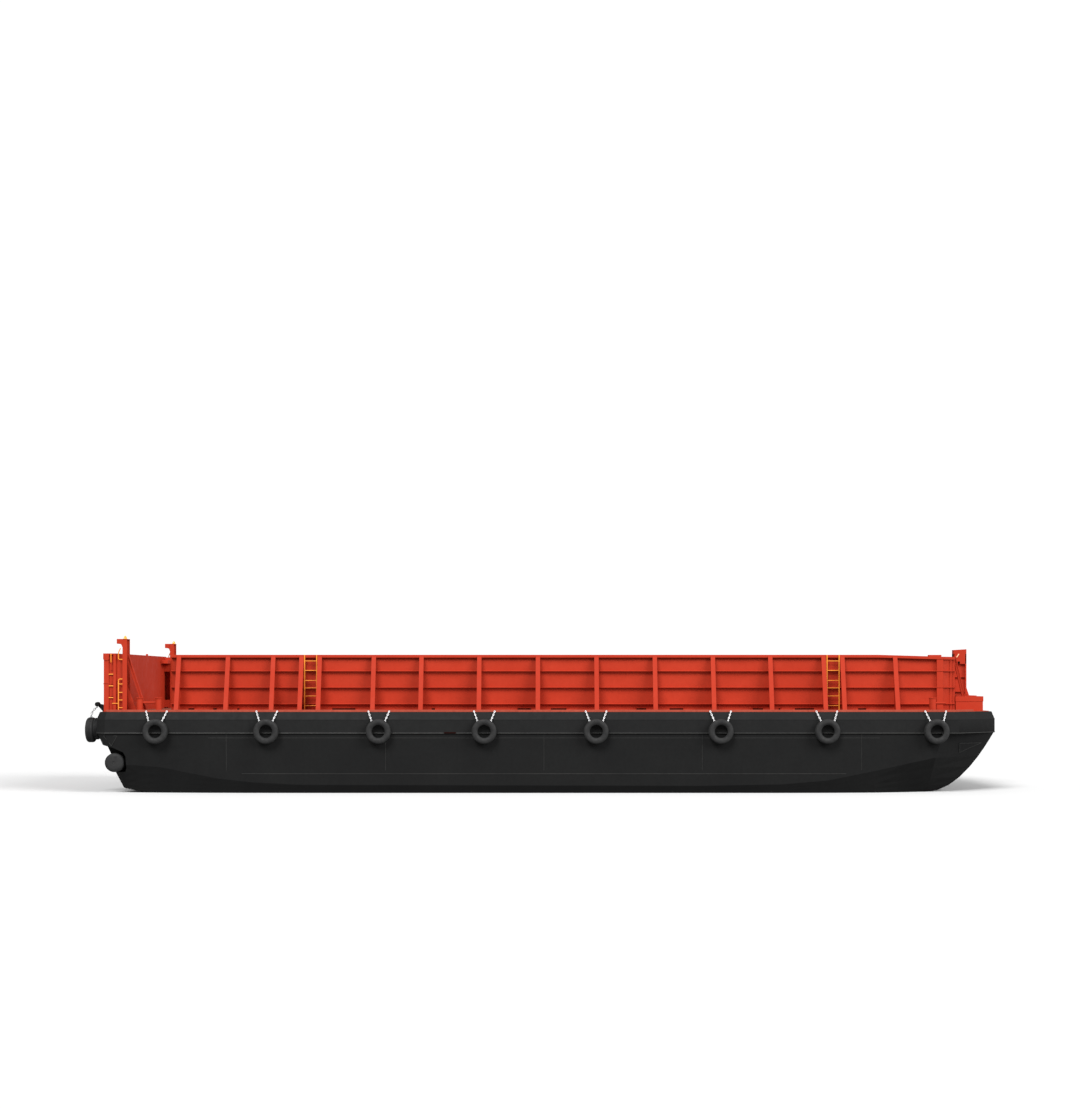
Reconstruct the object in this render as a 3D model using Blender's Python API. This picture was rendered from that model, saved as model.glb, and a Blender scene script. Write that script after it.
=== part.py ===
"""A river barge: a flat-bottomed deck barge that carries a bin of stiffened plate walls.

Metres, +Z up. The bow points to +X and port is +Y. The origin lies on the floor, under the middle of the
barge. Heights are above the floor unless a name says above_deck. What stands on both sides is made once
and mirrored: side is +1 for port and -1 for starboard.
"""

import math

import bmesh
import bpy
from mathutils import Matrix, Vector

# The hull's driving sizes
LENGTH = 38.0
BEAM = 11.0
DECK_Z = 3.41
BOW_X = 19.265
STERN_X = BOW_X - LENGTH
HALF_BEAM = BEAM / 2
GAP = 0.0003

# The fender band round the hull, and the sloping facet from it up to the deck's edge
BAND_LOW_Z = 2.49
BAND_HIGH_Z = 3.07
BAND_LAP = 0.05
BOW_CHAMFER = 2.0
STERN_CHAMFER = 0.44
EDGE_INSET = 0.125
DECK_PLATE = 0.025
HULL_TOP_Z = DECK_Z - DECK_PLATE - GAP
SHELL_TOP_Z = BAND_LOW_Z + BAND_LAP

# The raked ends of the shell
STERN_RAKE_LOW_X = -17.58
STERN_RAKE_SLOPE = 0.45
STERN_CORNER_Y = 5.05
STERN_LIFT = 0.20
BOW_RAKE_START_X = 16.30
BOW_RAKE_BEND_X = 17.66
BOW_RAKE_TOP_X = 19.25
BOW_RAKE_LOW_Y = 4.0
BOW_RAKE_TOP_Y = 3.5

# The bin of plate walls on the deck
BIN_AFT_X = -15.755
BIN_FORE_X = 16.86
BIN_Y = 4.35
BIN_CORNER = 0.49
BIN_PLATE = 0.05
RAIL_TOP_Z = 5.785
RAIL_BOW_TOP_Z = 5.705
RAIL_DROP_X = 14.1
RAIL_DEPTH = 0.12
RAIL_OUT = 0.14
STRINGERS_ABOVE_DECK = (0.30, 1.00, 1.69)
STRINGER_THICK = 0.03
STRINGER_OUT = 0.14
BUTTRESS_X = (
    -15.395, -13.325, -11.415, -10.225, -9.455, -7.175, -5.165, -2.725, -0.255,
    2.215, 4.675, 7.125, 9.545, 11.795, 12.585, 14.815,
)
BUTTRESS_FLANGE = 0.19
BUTTRESS_THICK = 0.03
BUTTRESS_FOOT = 0.85
BUTTRESS_HEAD = 0.16
CORNER_POST_X = (16.58, 16.85)
CORNER_POST_OUT = 0.12
CAP_BLOCK_X = (16.23, 16.78)
CAP_BLOCK_HIGH = 0.075

# The wear plate that cargo lies on, inside the bin's walls
FLOOR_X = (-17.56, 17.27)
FLOOR_Y = 4.27
FLOOR_CORNER = 0.47
FLOOR_THICK = 0.012

# Ladders on the bin's side walls
LADDER_X = (-9.84, 12.195)
LADDER_SPACING = 0.51
LADDER_STILE = 0.045
LADDER_RUNGS = 6
LADDER_FIRST_RUNG = 0.25
LADDER_PITCH = 0.372
RUNG_RADIUS = 0.018

# The wall across the stern, with its columns and top beam on the aft side
STERN_WALL_AFT_X = -18.45
STERN_WALL_FORE_X = -17.92
STERN_WALL_Y = 5.10
STERN_WALL_TOP_Z = 5.835
STERN_BEAM_DEPTH = 0.30
STERN_COLUMN = 0.25
STERN_COLUMNS = 7
STERN_PANEL = 0.11

# Hook posts for the tug's lines, forward of the stern wall, and their raking struts
HOOK_POST_X = (-17.64, -17.45)
HOOK_POST_Y = (4.55, 5.12)
HOOK_POST_TOP_Z = 6.44
HOOK_POST_FLANGE = 0.035
HORN_LENGTH = 0.24
HORN_DEPTH = 0.20
STRUT_TOP = (-17.40, 5.50)
STRUT_FOOT_X = -16.72
STRUT_SIZE = 0.13
POST_GUSSET = (0.36, 0.98)
LAMP_X = -17.545
LAMP_PROFILE = ((0.08, 0.0), (0.075, 0.045), (0.045, 0.10), (0.025, 0.135))

# The plates that close the space between the stern wall and each hook post
CHEEK_Y = (4.98, 5.01)
INNER_CHEEK_Y = (4.56, 4.59)
INNER_CHEEK_Z = ((3.45, 3.80), (5.13, 5.80))
CHEEK_TOP_Z = 5.80
WALL_BRACKET = ((-17.93, -17.58), (3.80, 4.54), (5.50, 5.66))

# The steps from the stern wall's end to the hook post, and the grab handle over them
STERN_LADDER_X = -17.81
STERN_LADDER_TOP_Z = 4.76
STERN_LADDER_RUNGS = (3.56, 3.88, 4.20, 4.55)
STERN_LADDER_STAY = (-18.07, 3.74)
TUBE_RADIUS = 0.02
HANDLE_LOW_Z = 5.58
HANDLE_BEND_Z = 5.86
HANDLE_HEAD = (-17.72, 6.05)

# Mooring gear
BOLLARD_X = (-16.915, -16.125)
BOLLARD_Y = 5.10
BOLLARD_RADIUS = 0.13
BOLLARD_HIGH = 0.57
BOLLARD_CAP_RADIUS = 0.16
BOLLARD_CAP_HIGH = 0.035
BOLLARD_BAR_ABOVE_DECK = 0.37
BOW_BOLLARD_X = 16.275
BOW_BOLLARD_RADIUS = 0.145
BOW_BAR_END_X = 16.80
BASE_PLATE = 0.03

# Tyre fenders, and the pair at each stern corner
TYRE_X = (-16.155, -11.555, -6.885, -2.485, 2.175, 7.365, 11.795, 16.335)
TYRE_Z = 2.58
TYRE_RADIUS = 0.52
TYRE_HOLE = 0.25
TYRE_WIDTH = 0.30
TYRE_SIDES = 16
CHAIN_RADIUS = 0.028
CHAIN_DECK_SPREAD = 0.44
CHAIN_TYRE_SPREAD = 0.27
STERN_TYRE_Y = 4.48
STERN_TYRE_Z = 2.62
STERN_TYRE_WIDTH = 0.34
BACKING_TYRE_RADIUS = 0.46
BACKING_TYRE_WIDTH = 0.22
FAIRLEAD_KNOB = (-18.83, 3.70)
FAIRLEAD_RADIUS = 0.095

# The pocket in each lower stern corner, and the round fender in it
ROLLER_X = -17.935
ROLLER_Z = 1.27
ROLLER_RADIUS = 0.395
ROLLER_Y = (4.36, 5.42)
ROLLER_SIDES = 20

# The light tower, and the two lockers at the bow that it stands between
TOWER_X = (18.25, 18.83)
TOWER_HALF_Y = 0.16
TOWER_TOP_Z = 6.065
TOWER_TOP_RISE = 0.035
TOWER_TOE_X = 18.97
TOWER_FLARE_Z = (3.97, 4.39)
LOCKER_X = (17.50, 18.69)
LOCKER_Y = (0.42, 3.88)
LOCKER_HIGH = 0.62
LOCKER_PLATE = 0.03
LOCKER_SKIRT = 0.22
LID_X = (17.66, 18.54)
LID_Y = (0.62, 3.28)
LID_LAP = 0.04
LID_THICK = 0.03
HINGE_RADIUS = 0.022
BRACE_Y = 3.69
BRACE_TOP = (17.515, 5.60)
BRACE_FOOT_X = 17.88
BRACE_SIZE = 0.12
TIE_Z = 5.10

# Hull sections, aft to forward. Columns: x, keel edge y, keel edge z, chine z, chine y, shell top y
SECTIONS = (
    (-17.00, 4.88, 0.07, 1.16, 5.34, 5.45),
    (-16.00, 4.95, 0.0, 1.08, 5.33, 5.45),
    (-14.90, 5.05, 0.0, 0.865, 5.37, 5.45),
    (-13.65, 5.12, 0.0, 0.62, 5.39, 5.45),
    (-12.15, 5.18, 0.0, 0.45, 5.40, 5.45),
    (-10.07, 5.20, 0.0, 0.347, 5.41, 5.45),
    (6.50, 5.20, 0.0, 0.306, 5.41, 5.45),
    (9.83, 5.20, 0.0, 0.36, 5.41, 5.45),
    (11.83, 5.15, 0.0, 0.527, 5.41, 5.45),
    (13.83, 4.98, 0.0, 0.93, 5.40, 5.45),
    (15.20, 4.60, 0.0, 1.24, 5.39, 5.45),
)
# The places of a section's rows: up to the chine, and on from it to the shell's top
ROWS_TO_CHINE = (0.0, 0.05, 0.18, 0.4, 0.7, 1.0)
ROWS_TO_TOP = (1 / 3, 2 / 3, 1.0)


def clear_scene():
    for old in list(bpy.data.objects):
        bpy.data.objects.remove(old, do_unlink=True)


def paint(name, colour, roughness, metallic=0.0):
    material = bpy.data.materials.new(name)
    material.use_nodes = True
    shader = material.node_tree.nodes["Principled BSDF"]
    shader.inputs["Base Color"].default_value = (*colour, 1.0)
    shader.inputs["Roughness"].default_value = roughness
    shader.inputs["Metallic"].default_value = metallic
    return material


def fill(shape, faces):
    bmesh.ops.recalc_face_normals(shape, faces=faces)


def prism(shape, outline, sweep):
    """A closed prism: a flat outline of 3-D points, swept along a vector."""
    sweep = Vector(sweep)
    low = [shape.verts.new(Vector(point)) for point in outline]
    high = [shape.verts.new(Vector(point) + sweep) for point in outline]
    faces = [shape.faces.new(low), shape.faces.new(high)]
    for i, corner in enumerate(low):
        after = (i + 1) % len(low)
        faces.append(shape.faces.new((corner, low[after], high[after], high[i])))
    fill(shape, faces)


def plan_prism(shape, outline, low_z, high_z):
    prism(shape, [(x, y, low_z) for x, y in outline], (0, 0, high_z - low_z))


def side_prism(shape, outline, low_y, high_y):
    prism(shape, [(x, low_y, z) for x, z in outline], (0, high_y - low_y, 0))


def section_prism(shape, outline, low_x, high_x):
    prism(shape, [(low_x, y, z) for y, z in outline], (high_x - low_x, 0, 0))


def block(shape, xs, ys, zs):
    """A box between two values on each axis, given in any order."""
    x0, x1 = sorted(xs)
    y0, y1 = sorted(ys)
    z0, z1 = sorted(zs)
    plan_prism(shape, ((x0, y0), (x1, y0), (x1, y1), (x0, y1)), z0, z1)


def rod(shape, start, end, radius, sides=8):
    """A round bar from one point to another."""
    start, end = Vector(start), Vector(end)
    along = (end - start).normalized()
    across = along.orthogonal().normalized()
    up = along.cross(across)
    ring = []
    for i in range(sides):
        turn = 2 * math.pi * (i + 0.5) / sides
        ring.append(start + radius * (math.cos(turn) * across + math.sin(turn) * up))
    prism(shape, ring, end - start)


def turned(shape, foot, profile, sides=12):
    """A solid turned about an upright line, from its foot up through rings of (radius, height)."""
    rings = []
    for radius, height in profile:
        turns = [2 * math.pi * i / sides for i in range(sides)]
        rings.append([
            shape.verts.new(Vector(foot) + Vector((radius * math.cos(t), radius * math.sin(t), height)))
            for t in turns
        ])
    faces = [shape.faces.new(rings[0]), shape.faces.new(rings[-1])]
    for low, high in zip(rings, rings[1:]):
        for i in range(sides):
            after = (i + 1) % sides
            faces.append(shape.faces.new((low[i], low[after], high[after], high[i])))
    fill(shape, faces)


def i_beam(shape, start, end, width, depth, thick, width_axis):
    """A bar of I section from one point to another: two flanges and the web between them."""
    start, end = Vector(start), Vector(end)
    along = (end - start).normalized()
    wide = Vector(width_axis).normalized()
    deep = along.cross(wide)
    half_wide, half_deep, half_web = width / 2, depth / 2, thick / 2
    outline = (
        (-half_wide, -half_deep), (half_wide, -half_deep), (half_wide, thick - half_deep),
        (half_web, thick - half_deep), (half_web, half_deep - thick), (half_wide, half_deep - thick),
        (half_wide, half_deep), (-half_wide, half_deep), (-half_wide, half_deep - thick),
        (-half_web, half_deep - thick), (-half_web, thick - half_deep), (-half_wide, thick - half_deep),
    )
    prism(shape, [start + wide * a + deep * b for a, b in outline], end - start)


def add_object(name, shape, material):
    mesh = bpy.data.meshes.new(name)
    shape.to_mesh(mesh)
    shape.free()
    if material:
        mesh.materials.append(material)
    obj = bpy.data.objects.new(name, mesh)
    bpy.context.scene.collection.objects.link(obj)
    return obj


def weld(obj, nothing):
    """Joins the overlapping closed shapes in one mesh into one body."""
    union = obj.modifiers.new("weld", "BOOLEAN")
    union.operation = "UNION"
    union.solver = "EXACT"
    union.operand_type = "COLLECTION"
    union.collection = nothing
    union.use_self = True
    return obj


def cut(obj, cutter):
    cutter.hide_render = True
    cutter.display_type = "WIRE"
    difference = obj.modifiers.new("cut", "BOOLEAN")
    difference.operation = "DIFFERENCE"
    difference.solver = "EXACT"
    difference.object = cutter


def trim(obj, xs, ys, zs):
    """Cuts a box-shaped space out of an object."""
    shape = bmesh.new()
    block(shape, xs, ys, zs)
    cut(obj, add_object(f"{obj.name}_trim_{len(obj.modifiers)}", shape, None))


def side_name(side):
    return "port" if side > 0 else "starboard"


def plan_outline(inset, aft_x=STERN_X, fore_x=BOW_X):
    """The hull's plan with its cut corners, drawn in by inset, and cut off square at aft_x and fore_x."""
    shift = inset * math.tan(math.radians(22.5))
    y = HALF_BEAM - inset
    aft = STERN_X + inset
    fore = BOW_X - inset
    half = [
        (aft, HALF_BEAM - STERN_CHAMFER - shift),
        (STERN_X + STERN_CHAMFER + shift, y),
        (BOW_X - BOW_CHAMFER - shift, y),
        (fore, HALF_BEAM - BOW_CHAMFER - shift),
    ]
    if aft_x > aft:
        half[0] = (aft_x, half[1][1] - max(0.0, half[1][0] - aft_x))
    if fore_x < fore:
        half[3] = (fore_x, y - (fore_x - half[2][0]))
    return half + [(x, -y) for x, y in reversed(half)]


def stern_rake_x(z):
    return STERN_RAKE_LOW_X - STERN_RAKE_SLOPE * z


def section_rows(keel_edge, chine, top):
    """Points up one side of a section, on straight lines from keel edge to chine to top."""
    rows = [keel_edge.lerp(chine, share) for share in ROWS_TO_CHINE]
    return rows + [chine.lerp(top, share) for share in ROWS_TO_TOP]


def bow_rake_rows(heights):
    """The bow plate's edge: a curve that leaves the bottom level and runs out along the rake's slope."""
    rows = []
    for z in heights:
        t = math.sqrt(z / SHELL_TOP_Z)
        x = (1 - t) ** 2 * BOW_RAKE_START_X + 2 * t * (1 - t) * BOW_RAKE_BEND_X + t * t * BOW_RAKE_TOP_X
        y = BOW_RAKE_LOW_Y + (BOW_RAKE_TOP_Y - BOW_RAKE_LOW_Y) * z / SHELL_TOP_Z
        rows.append(Vector((x, y, z)))
    return rows


def shell_sections():
    """Rows of points for the shell's port side, from the stern rake's corner to the bow rake's."""
    corner_chine_z = 1.25
    stern_corner = section_rows(
        Vector((stern_rake_x(STERN_LIFT), 4.72, STERN_LIFT)),
        Vector((stern_rake_x(corner_chine_z), STERN_CORNER_Y, corner_chine_z)),
        Vector((stern_rake_x(SHELL_TOP_Z), STERN_CORNER_Y, SHELL_TOP_Z)),
    )
    stern_side = section_rows(
        Vector((stern_rake_x(STERN_LIFT) + 0.12, 4.80, STERN_LIFT - 0.03)),
        Vector((stern_rake_x(corner_chine_z) + 0.30, 5.35, corner_chine_z - 0.03)),
        Vector((stern_rake_x(SHELL_TOP_Z) + 0.40, 5.45, SHELL_TOP_Z)),
    )
    sections = [stern_corner, stern_side]
    for x, keel_y, keel_z, chine_z, chine_y, top_y in SECTIONS:
        sections.append(section_rows(
            Vector((x, keel_y, keel_z)), Vector((x, chine_y, chine_z)), Vector((x, top_y, SHELL_TOP_Z))
        ))
    fold = section_rows(
        Vector((16.20, 4.22, 0.0)), Vector((16.35, 5.38, 1.48)), Vector((16.62, 5.45, SHELL_TOP_Z))
    )
    sections.append(fold)
    sections.append(bow_rake_rows([point.z for point in fold]))
    return sections


def add_shell(shape):
    """The hull below the fender band, as one closed grid of plates."""
    port = [[shape.verts.new(point) for point in rows] for rows in shell_sections()]
    starboard = [[shape.verts.new((v.co.x, -v.co.y, v.co.z)) for v in rows] for rows in port]
    faces = []
    for half in (port, starboard):
        for aft, fore in zip(half, half[1:]):
            for i in range(len(aft) - 1):
                faces.append(shape.faces.new((aft[i], fore[i], fore[i + 1], aft[i + 1])))
    for i in range(len(port) - 1):
        for row in (0, -1):
            faces.append(shape.faces.new(
                (port[i][row], port[i + 1][row], starboard[i + 1][row], starboard[i][row])
            ))
    for end in (0, -1):
        for i in range(len(port[end]) - 1):
            faces.append(shape.faces.new(
                (port[end][i], port[end][i + 1], starboard[end][i + 1], starboard[end][i])
            ))
    fill(shape, faces)


def add_band(shape):
    """The fender band, and the facet that slopes in from it to the deck's edge."""
    rings = []
    for inset, z in ((0.0, BAND_LOW_Z), (0.0, BAND_HIGH_Z), (EDGE_INSET, HULL_TOP_Z)):
        rings.append([shape.verts.new((x, y, z)) for x, y in plan_outline(inset)])
    faces = [shape.faces.new(rings[0]), shape.faces.new(rings[-1])]
    for low, high in zip(rings, rings[1:]):
        for i in range(len(low)):
            after = (i + 1) % len(low)
            faces.append(shape.faces.new((low[i], low[after], high[after], high[i])))
    fill(shape, faces)


def roller_pocket(side):
    """The cutter for the open pocket in a lower stern corner."""
    shape = bmesh.new()
    outline = (
        (-18.80, 0.80), (-18.05, 0.86), (-17.50, 0.88), (-17.44, 1.05),
        (-17.46, 1.52), (-17.56, 1.70), (-18.00, 1.90), (-18.80, 2.06),
    )
    side_prism(shape, outline, side * (ROLLER_Y[0] - 0.01), side * 6.0)
    return add_object("pocket_cutter_" + side_name(side), shape, None)


def make_hull(black, nothing):
    shape = bmesh.new()
    add_shell(shape)
    add_band(shape)
    hull = weld(add_object("hull", shape, black), nothing)
    for side in (1, -1):
        cut(hull, roller_pocket(side))


def make_deck(orange, nothing):
    """The deck plate, with a low bar along each edge that keeps water off the sides."""
    shape = bmesh.new()
    low_z = DECK_Z - DECK_PLATE
    aft_x, fore_x = -18.48, 19.00
    plate_inset = EDGE_INSET + 0.035
    plan_prism(shape, plan_outline(plate_inset, aft_x, fore_x), low_z, DECK_Z)
    for side in (1, -1):
        outer = HALF_BEAM - plate_inset - 0.003
        inner = outer - 0.03
        turn_x = BOW_X - BOW_CHAMFER - plate_inset * math.tan(math.radians(22.5))
        end = 0.95
        outline = (
            (aft_x + 0.20, outer), (turn_x, outer), (turn_x + end, outer - end),
            (turn_x + end - 0.03, outer - end - 0.03), (turn_x - 0.012, inner), (aft_x + 0.20, inner),
        )
        plan_prism(shape, [(x, side * y) for x, y in outline], low_z + 0.01, DECK_Z + 0.07)
    weld(add_object("deck", shape, orange), nothing)


def make_cargo_floor(orange):
    shape = bmesh.new()
    aft_x, fore_x = FLOOR_X
    turn_x, turn_y = fore_x - FLOOR_CORNER, FLOOR_Y - FLOOR_CORNER
    outline = (
        (aft_x, -FLOOR_Y), (turn_x, -FLOOR_Y), (fore_x, -turn_y),
        (fore_x, turn_y), (turn_x, FLOOR_Y), (aft_x, FLOOR_Y),
    )
    plan_prism(shape, outline, DECK_Z + GAP, DECK_Z + GAP + FLOOR_THICK)
    add_object("cargo_floor", shape, orange)


def rail_top(x):
    share = max(0.0, x - RAIL_DROP_X) / (BIN_FORE_X - RAIL_DROP_X)
    return RAIL_TOP_Z + (RAIL_BOW_TOP_Z - RAIL_TOP_Z) * share


def make_bin_side(side, orange, nothing):
    """One side wall of the bin: plate, buttresses, stringers and top rail."""
    shape = bmesh.new()
    foot_z = DECK_Z + GAP
    profile = (
        (BIN_AFT_X, foot_z), (BIN_FORE_X, foot_z), (BIN_FORE_X, RAIL_BOW_TOP_Z - 0.02),
        (RAIL_DROP_X, RAIL_TOP_Z - 0.02), (BIN_AFT_X, RAIL_TOP_Z - 0.02),
    )
    side_prism(shape, profile, side * (BIN_Y - BIN_PLATE), side * BIN_Y)
    rail = (
        (BIN_AFT_X, RAIL_TOP_Z - RAIL_DEPTH), (RAIL_DROP_X, RAIL_TOP_Z - RAIL_DEPTH),
        (BIN_FORE_X, RAIL_BOW_TOP_Z - RAIL_DEPTH), (BIN_FORE_X, RAIL_BOW_TOP_Z),
        (RAIL_DROP_X, RAIL_TOP_Z), (BIN_AFT_X, RAIL_TOP_Z),
    )
    side_prism(shape, rail, side * (BIN_Y - BIN_PLATE - 0.02), side * (BIN_Y + RAIL_OUT))
    for height in STRINGERS_ABOVE_DECK:
        z = DECK_Z + height
        block(shape, (BIN_AFT_X, BIN_FORE_X), (side * (BIN_Y - 0.01), side * (BIN_Y + STRINGER_OUT)),
              (z - STRINGER_THICK / 2, z + STRINGER_THICK / 2))
    for x in BUTTRESS_X:
        head_z = rail_top(x) - RAIL_DEPTH / 2
        foot_y, head_y = BIN_Y + BUTTRESS_FOOT, BIN_Y + BUTTRESS_HEAD
        web = ((BIN_Y - 0.01, foot_z), (foot_y, foot_z), (head_y, head_z), (BIN_Y - 0.01, head_z))
        section_prism(shape, [(side * y, z) for y, z in web],
                      x - BUTTRESS_THICK / 2, x + BUTTRESS_THICK / 2)
        flange = (
            (foot_y - BUTTRESS_THICK, foot_z), (foot_y, foot_z), (head_y, head_z),
            (head_y - BUTTRESS_THICK, head_z),
        )
        section_prism(shape, [(side * y, z) for y, z in flange],
                      x - BUTTRESS_FLANGE / 2, x + BUTTRESS_FLANGE / 2)
    block(shape, CORNER_POST_X, (side * (BIN_Y - 0.01), side * (BIN_Y + CORNER_POST_OUT)),
          (foot_z, rail_top(CORNER_POST_X[1]) - RAIL_DEPTH / 2))
    cap_low = rail_top(CAP_BLOCK_X[0]) - RAIL_DEPTH / 2
    block(shape, CAP_BLOCK_X, (side * (BIN_Y - BIN_PLATE - 0.01), side * (BIN_Y + RAIL_OUT - 0.01)),
          (cap_low, rail_top(CAP_BLOCK_X[1]) + CAP_BLOCK_HIGH))
    weld(add_object("bin_wall_" + side_name(side), shape, orange), nothing)


def corner_strip(inner, outer):
    """The plan of a strip round the bin's cut bow corner, between two offsets from the plate's outside."""
    start_x = BIN_FORE_X + GAP
    end_x, end_y = BIN_FORE_X + BIN_CORNER, BIN_Y - BIN_CORNER + GAP
    return (
        (start_x, BIN_Y + inner), (start_x, BIN_Y + outer), (end_x + outer, end_y), (end_x + inner, end_y),
    )


def make_bin_corner(side, orange, nothing):
    shape = bmesh.new()
    foot_z = DECK_Z + GAP
    levels = [(-BIN_PLATE, 0.0, foot_z, RAIL_BOW_TOP_Z - 0.02)]
    levels.append((-BIN_PLATE - 0.02, RAIL_OUT, RAIL_BOW_TOP_Z - RAIL_DEPTH, RAIL_BOW_TOP_Z))
    for height in STRINGERS_ABOVE_DECK:
        z = DECK_Z + height
        levels.append((-0.01, STRINGER_OUT, z - STRINGER_THICK / 2, z + STRINGER_THICK / 2))
    for inner, outer, low_z, high_z in levels:
        plan_prism(shape, [(x, side * y) for x, y in corner_strip(inner, outer)], low_z, high_z)
    post_x = BIN_FORE_X + BIN_CORNER * 0.8
    post_y = BIN_Y - BIN_CORNER * 0.8
    block(shape, (post_x - 0.04, post_x + 0.06), (side * (post_y - 0.04), side * (post_y + 0.06)),
          (foot_z, RAIL_BOW_TOP_Z - RAIL_DEPTH / 2))
    weld(add_object("bin_corner_" + side_name(side), shape, orange), nothing)


def make_bin_bow_wall(orange, nothing):
    shape = bmesh.new()
    foot_z = DECK_Z + GAP
    x = BIN_FORE_X + BIN_CORNER
    y = BIN_Y - BIN_CORNER
    block(shape, (x - BIN_PLATE, x), (-y, y), (foot_z, RAIL_BOW_TOP_Z - 0.02))
    block(shape, (x - BIN_PLATE - 0.02, x + RAIL_OUT), (-y, y), (RAIL_BOW_TOP_Z - RAIL_DEPTH, RAIL_BOW_TOP_Z))
    for height in STRINGERS_ABOVE_DECK:
        z = DECK_Z + height
        block(shape, (x - 0.01, x + STRINGER_OUT), (-y, y), (z - STRINGER_THICK / 2, z + STRINGER_THICK / 2))
    posts = 7
    for i in range(posts):
        post_y = (y - 0.06) * (2 * i / (posts - 1) - 1)
        block(shape, (x - 0.01, x + STRINGER_OUT - 0.01), (post_y - 0.045, post_y + 0.045),
              (foot_z, RAIL_BOW_TOP_Z - RAIL_DEPTH / 2))
    weld(add_object("bin_wall_bow", shape, orange), nothing)


def make_ladder(name, side, x, yellow, nothing):
    """A ladder that hangs on the bin's rail and stringers."""
    shape = bmesh.new()
    back_y = BIN_Y + RAIL_OUT + GAP
    for end in (-1, 1):
        stile_x = x + end * LADDER_SPACING / 2
        block(shape, (stile_x - LADDER_STILE / 2, stile_x + LADDER_STILE / 2),
              (side * back_y, side * (back_y + LADDER_STILE)), (DECK_Z + GAP, RAIL_TOP_Z - 0.005))
    for i in range(LADDER_RUNGS):
        z = DECK_Z + LADDER_FIRST_RUNG + i * LADDER_PITCH
        y = side * (back_y + LADDER_STILE / 2)
        rod(shape, (x - LADDER_SPACING / 2, y, z), (x + LADDER_SPACING / 2, y, z), RUNG_RADIUS, 6)
    weld(add_object(name, shape, yellow), nothing)


def make_stern_wall(orange, nothing):
    """The wall across the stern: a smooth panel forward, with columns and a top beam behind it."""
    shape = bmesh.new()
    foot_z = DECK_Z + GAP
    panel_x = STERN_WALL_FORE_X - STERN_PANEL
    beam_x = STERN_WALL_AFT_X + STERN_COLUMN
    block(shape, (panel_x, STERN_WALL_FORE_X), (-STERN_WALL_Y, STERN_WALL_Y), (foot_z, STERN_WALL_TOP_Z))
    beam_low = STERN_WALL_TOP_Z - STERN_BEAM_DEPTH
    bevel = 0.06
    beam = (
        (STERN_WALL_AFT_X, STERN_WALL_TOP_Z), (STERN_WALL_AFT_X, beam_low + bevel),
        (STERN_WALL_AFT_X + bevel, beam_low), (beam_x - bevel, beam_low), (beam_x, beam_low + bevel),
        (beam_x, STERN_WALL_TOP_Z),
    )
    side_prism(shape, beam, -STERN_WALL_Y - 0.02, STERN_WALL_Y + 0.02)
    block(shape, (beam_x - 0.02, panel_x + 0.02), (-STERN_WALL_Y, STERN_WALL_Y),
          (STERN_WALL_TOP_Z - 0.05, STERN_WALL_TOP_Z))
    for i in range(STERN_COLUMNS):
        y = (STERN_WALL_Y - 0.10) * (2 * i / (STERN_COLUMNS - 1) - 1)
        block(shape, (STERN_WALL_AFT_X + 0.02, beam_x - 0.02), (y - 0.09, y + 0.09),
              (foot_z, beam_low + bevel))
        block(shape, (beam_x - 0.04, panel_x + 0.02), (y - 0.02, y + 0.02),
              (foot_z, STERN_WALL_TOP_Z - 0.02))
    for height in (0.62, 1.13, 1.69):
        z = DECK_Z + height
        block(shape, (panel_x - 0.13, panel_x + 0.01), (-STERN_WALL_Y + 0.08, STERN_WALL_Y - 0.08),
              (z - STRINGER_THICK / 2, z + STRINGER_THICK / 2))
    block(shape, (-18.02, -17.94), (1.10, 1.20), (STERN_WALL_TOP_Z - 0.02, STERN_WALL_TOP_Z + 0.07))
    cheek_x = (STERN_WALL_FORE_X - 0.01, HOOK_POST_X[0] - GAP)
    bracket_x, bracket_y, bracket_z = WALL_BRACKET
    for side in (1, -1):
        block(shape, cheek_x, [side * y for y in CHEEK_Y], (foot_z + BASE_PLATE + 0.01, CHEEK_TOP_Z))
        for zs in INNER_CHEEK_Z:
            block(shape, cheek_x, [side * y for y in INNER_CHEEK_Y], zs)
        block(shape, bracket_x, [side * y for y in bracket_y], bracket_z)
    weld(add_object("stern_wall", shape, orange), nothing)


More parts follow.
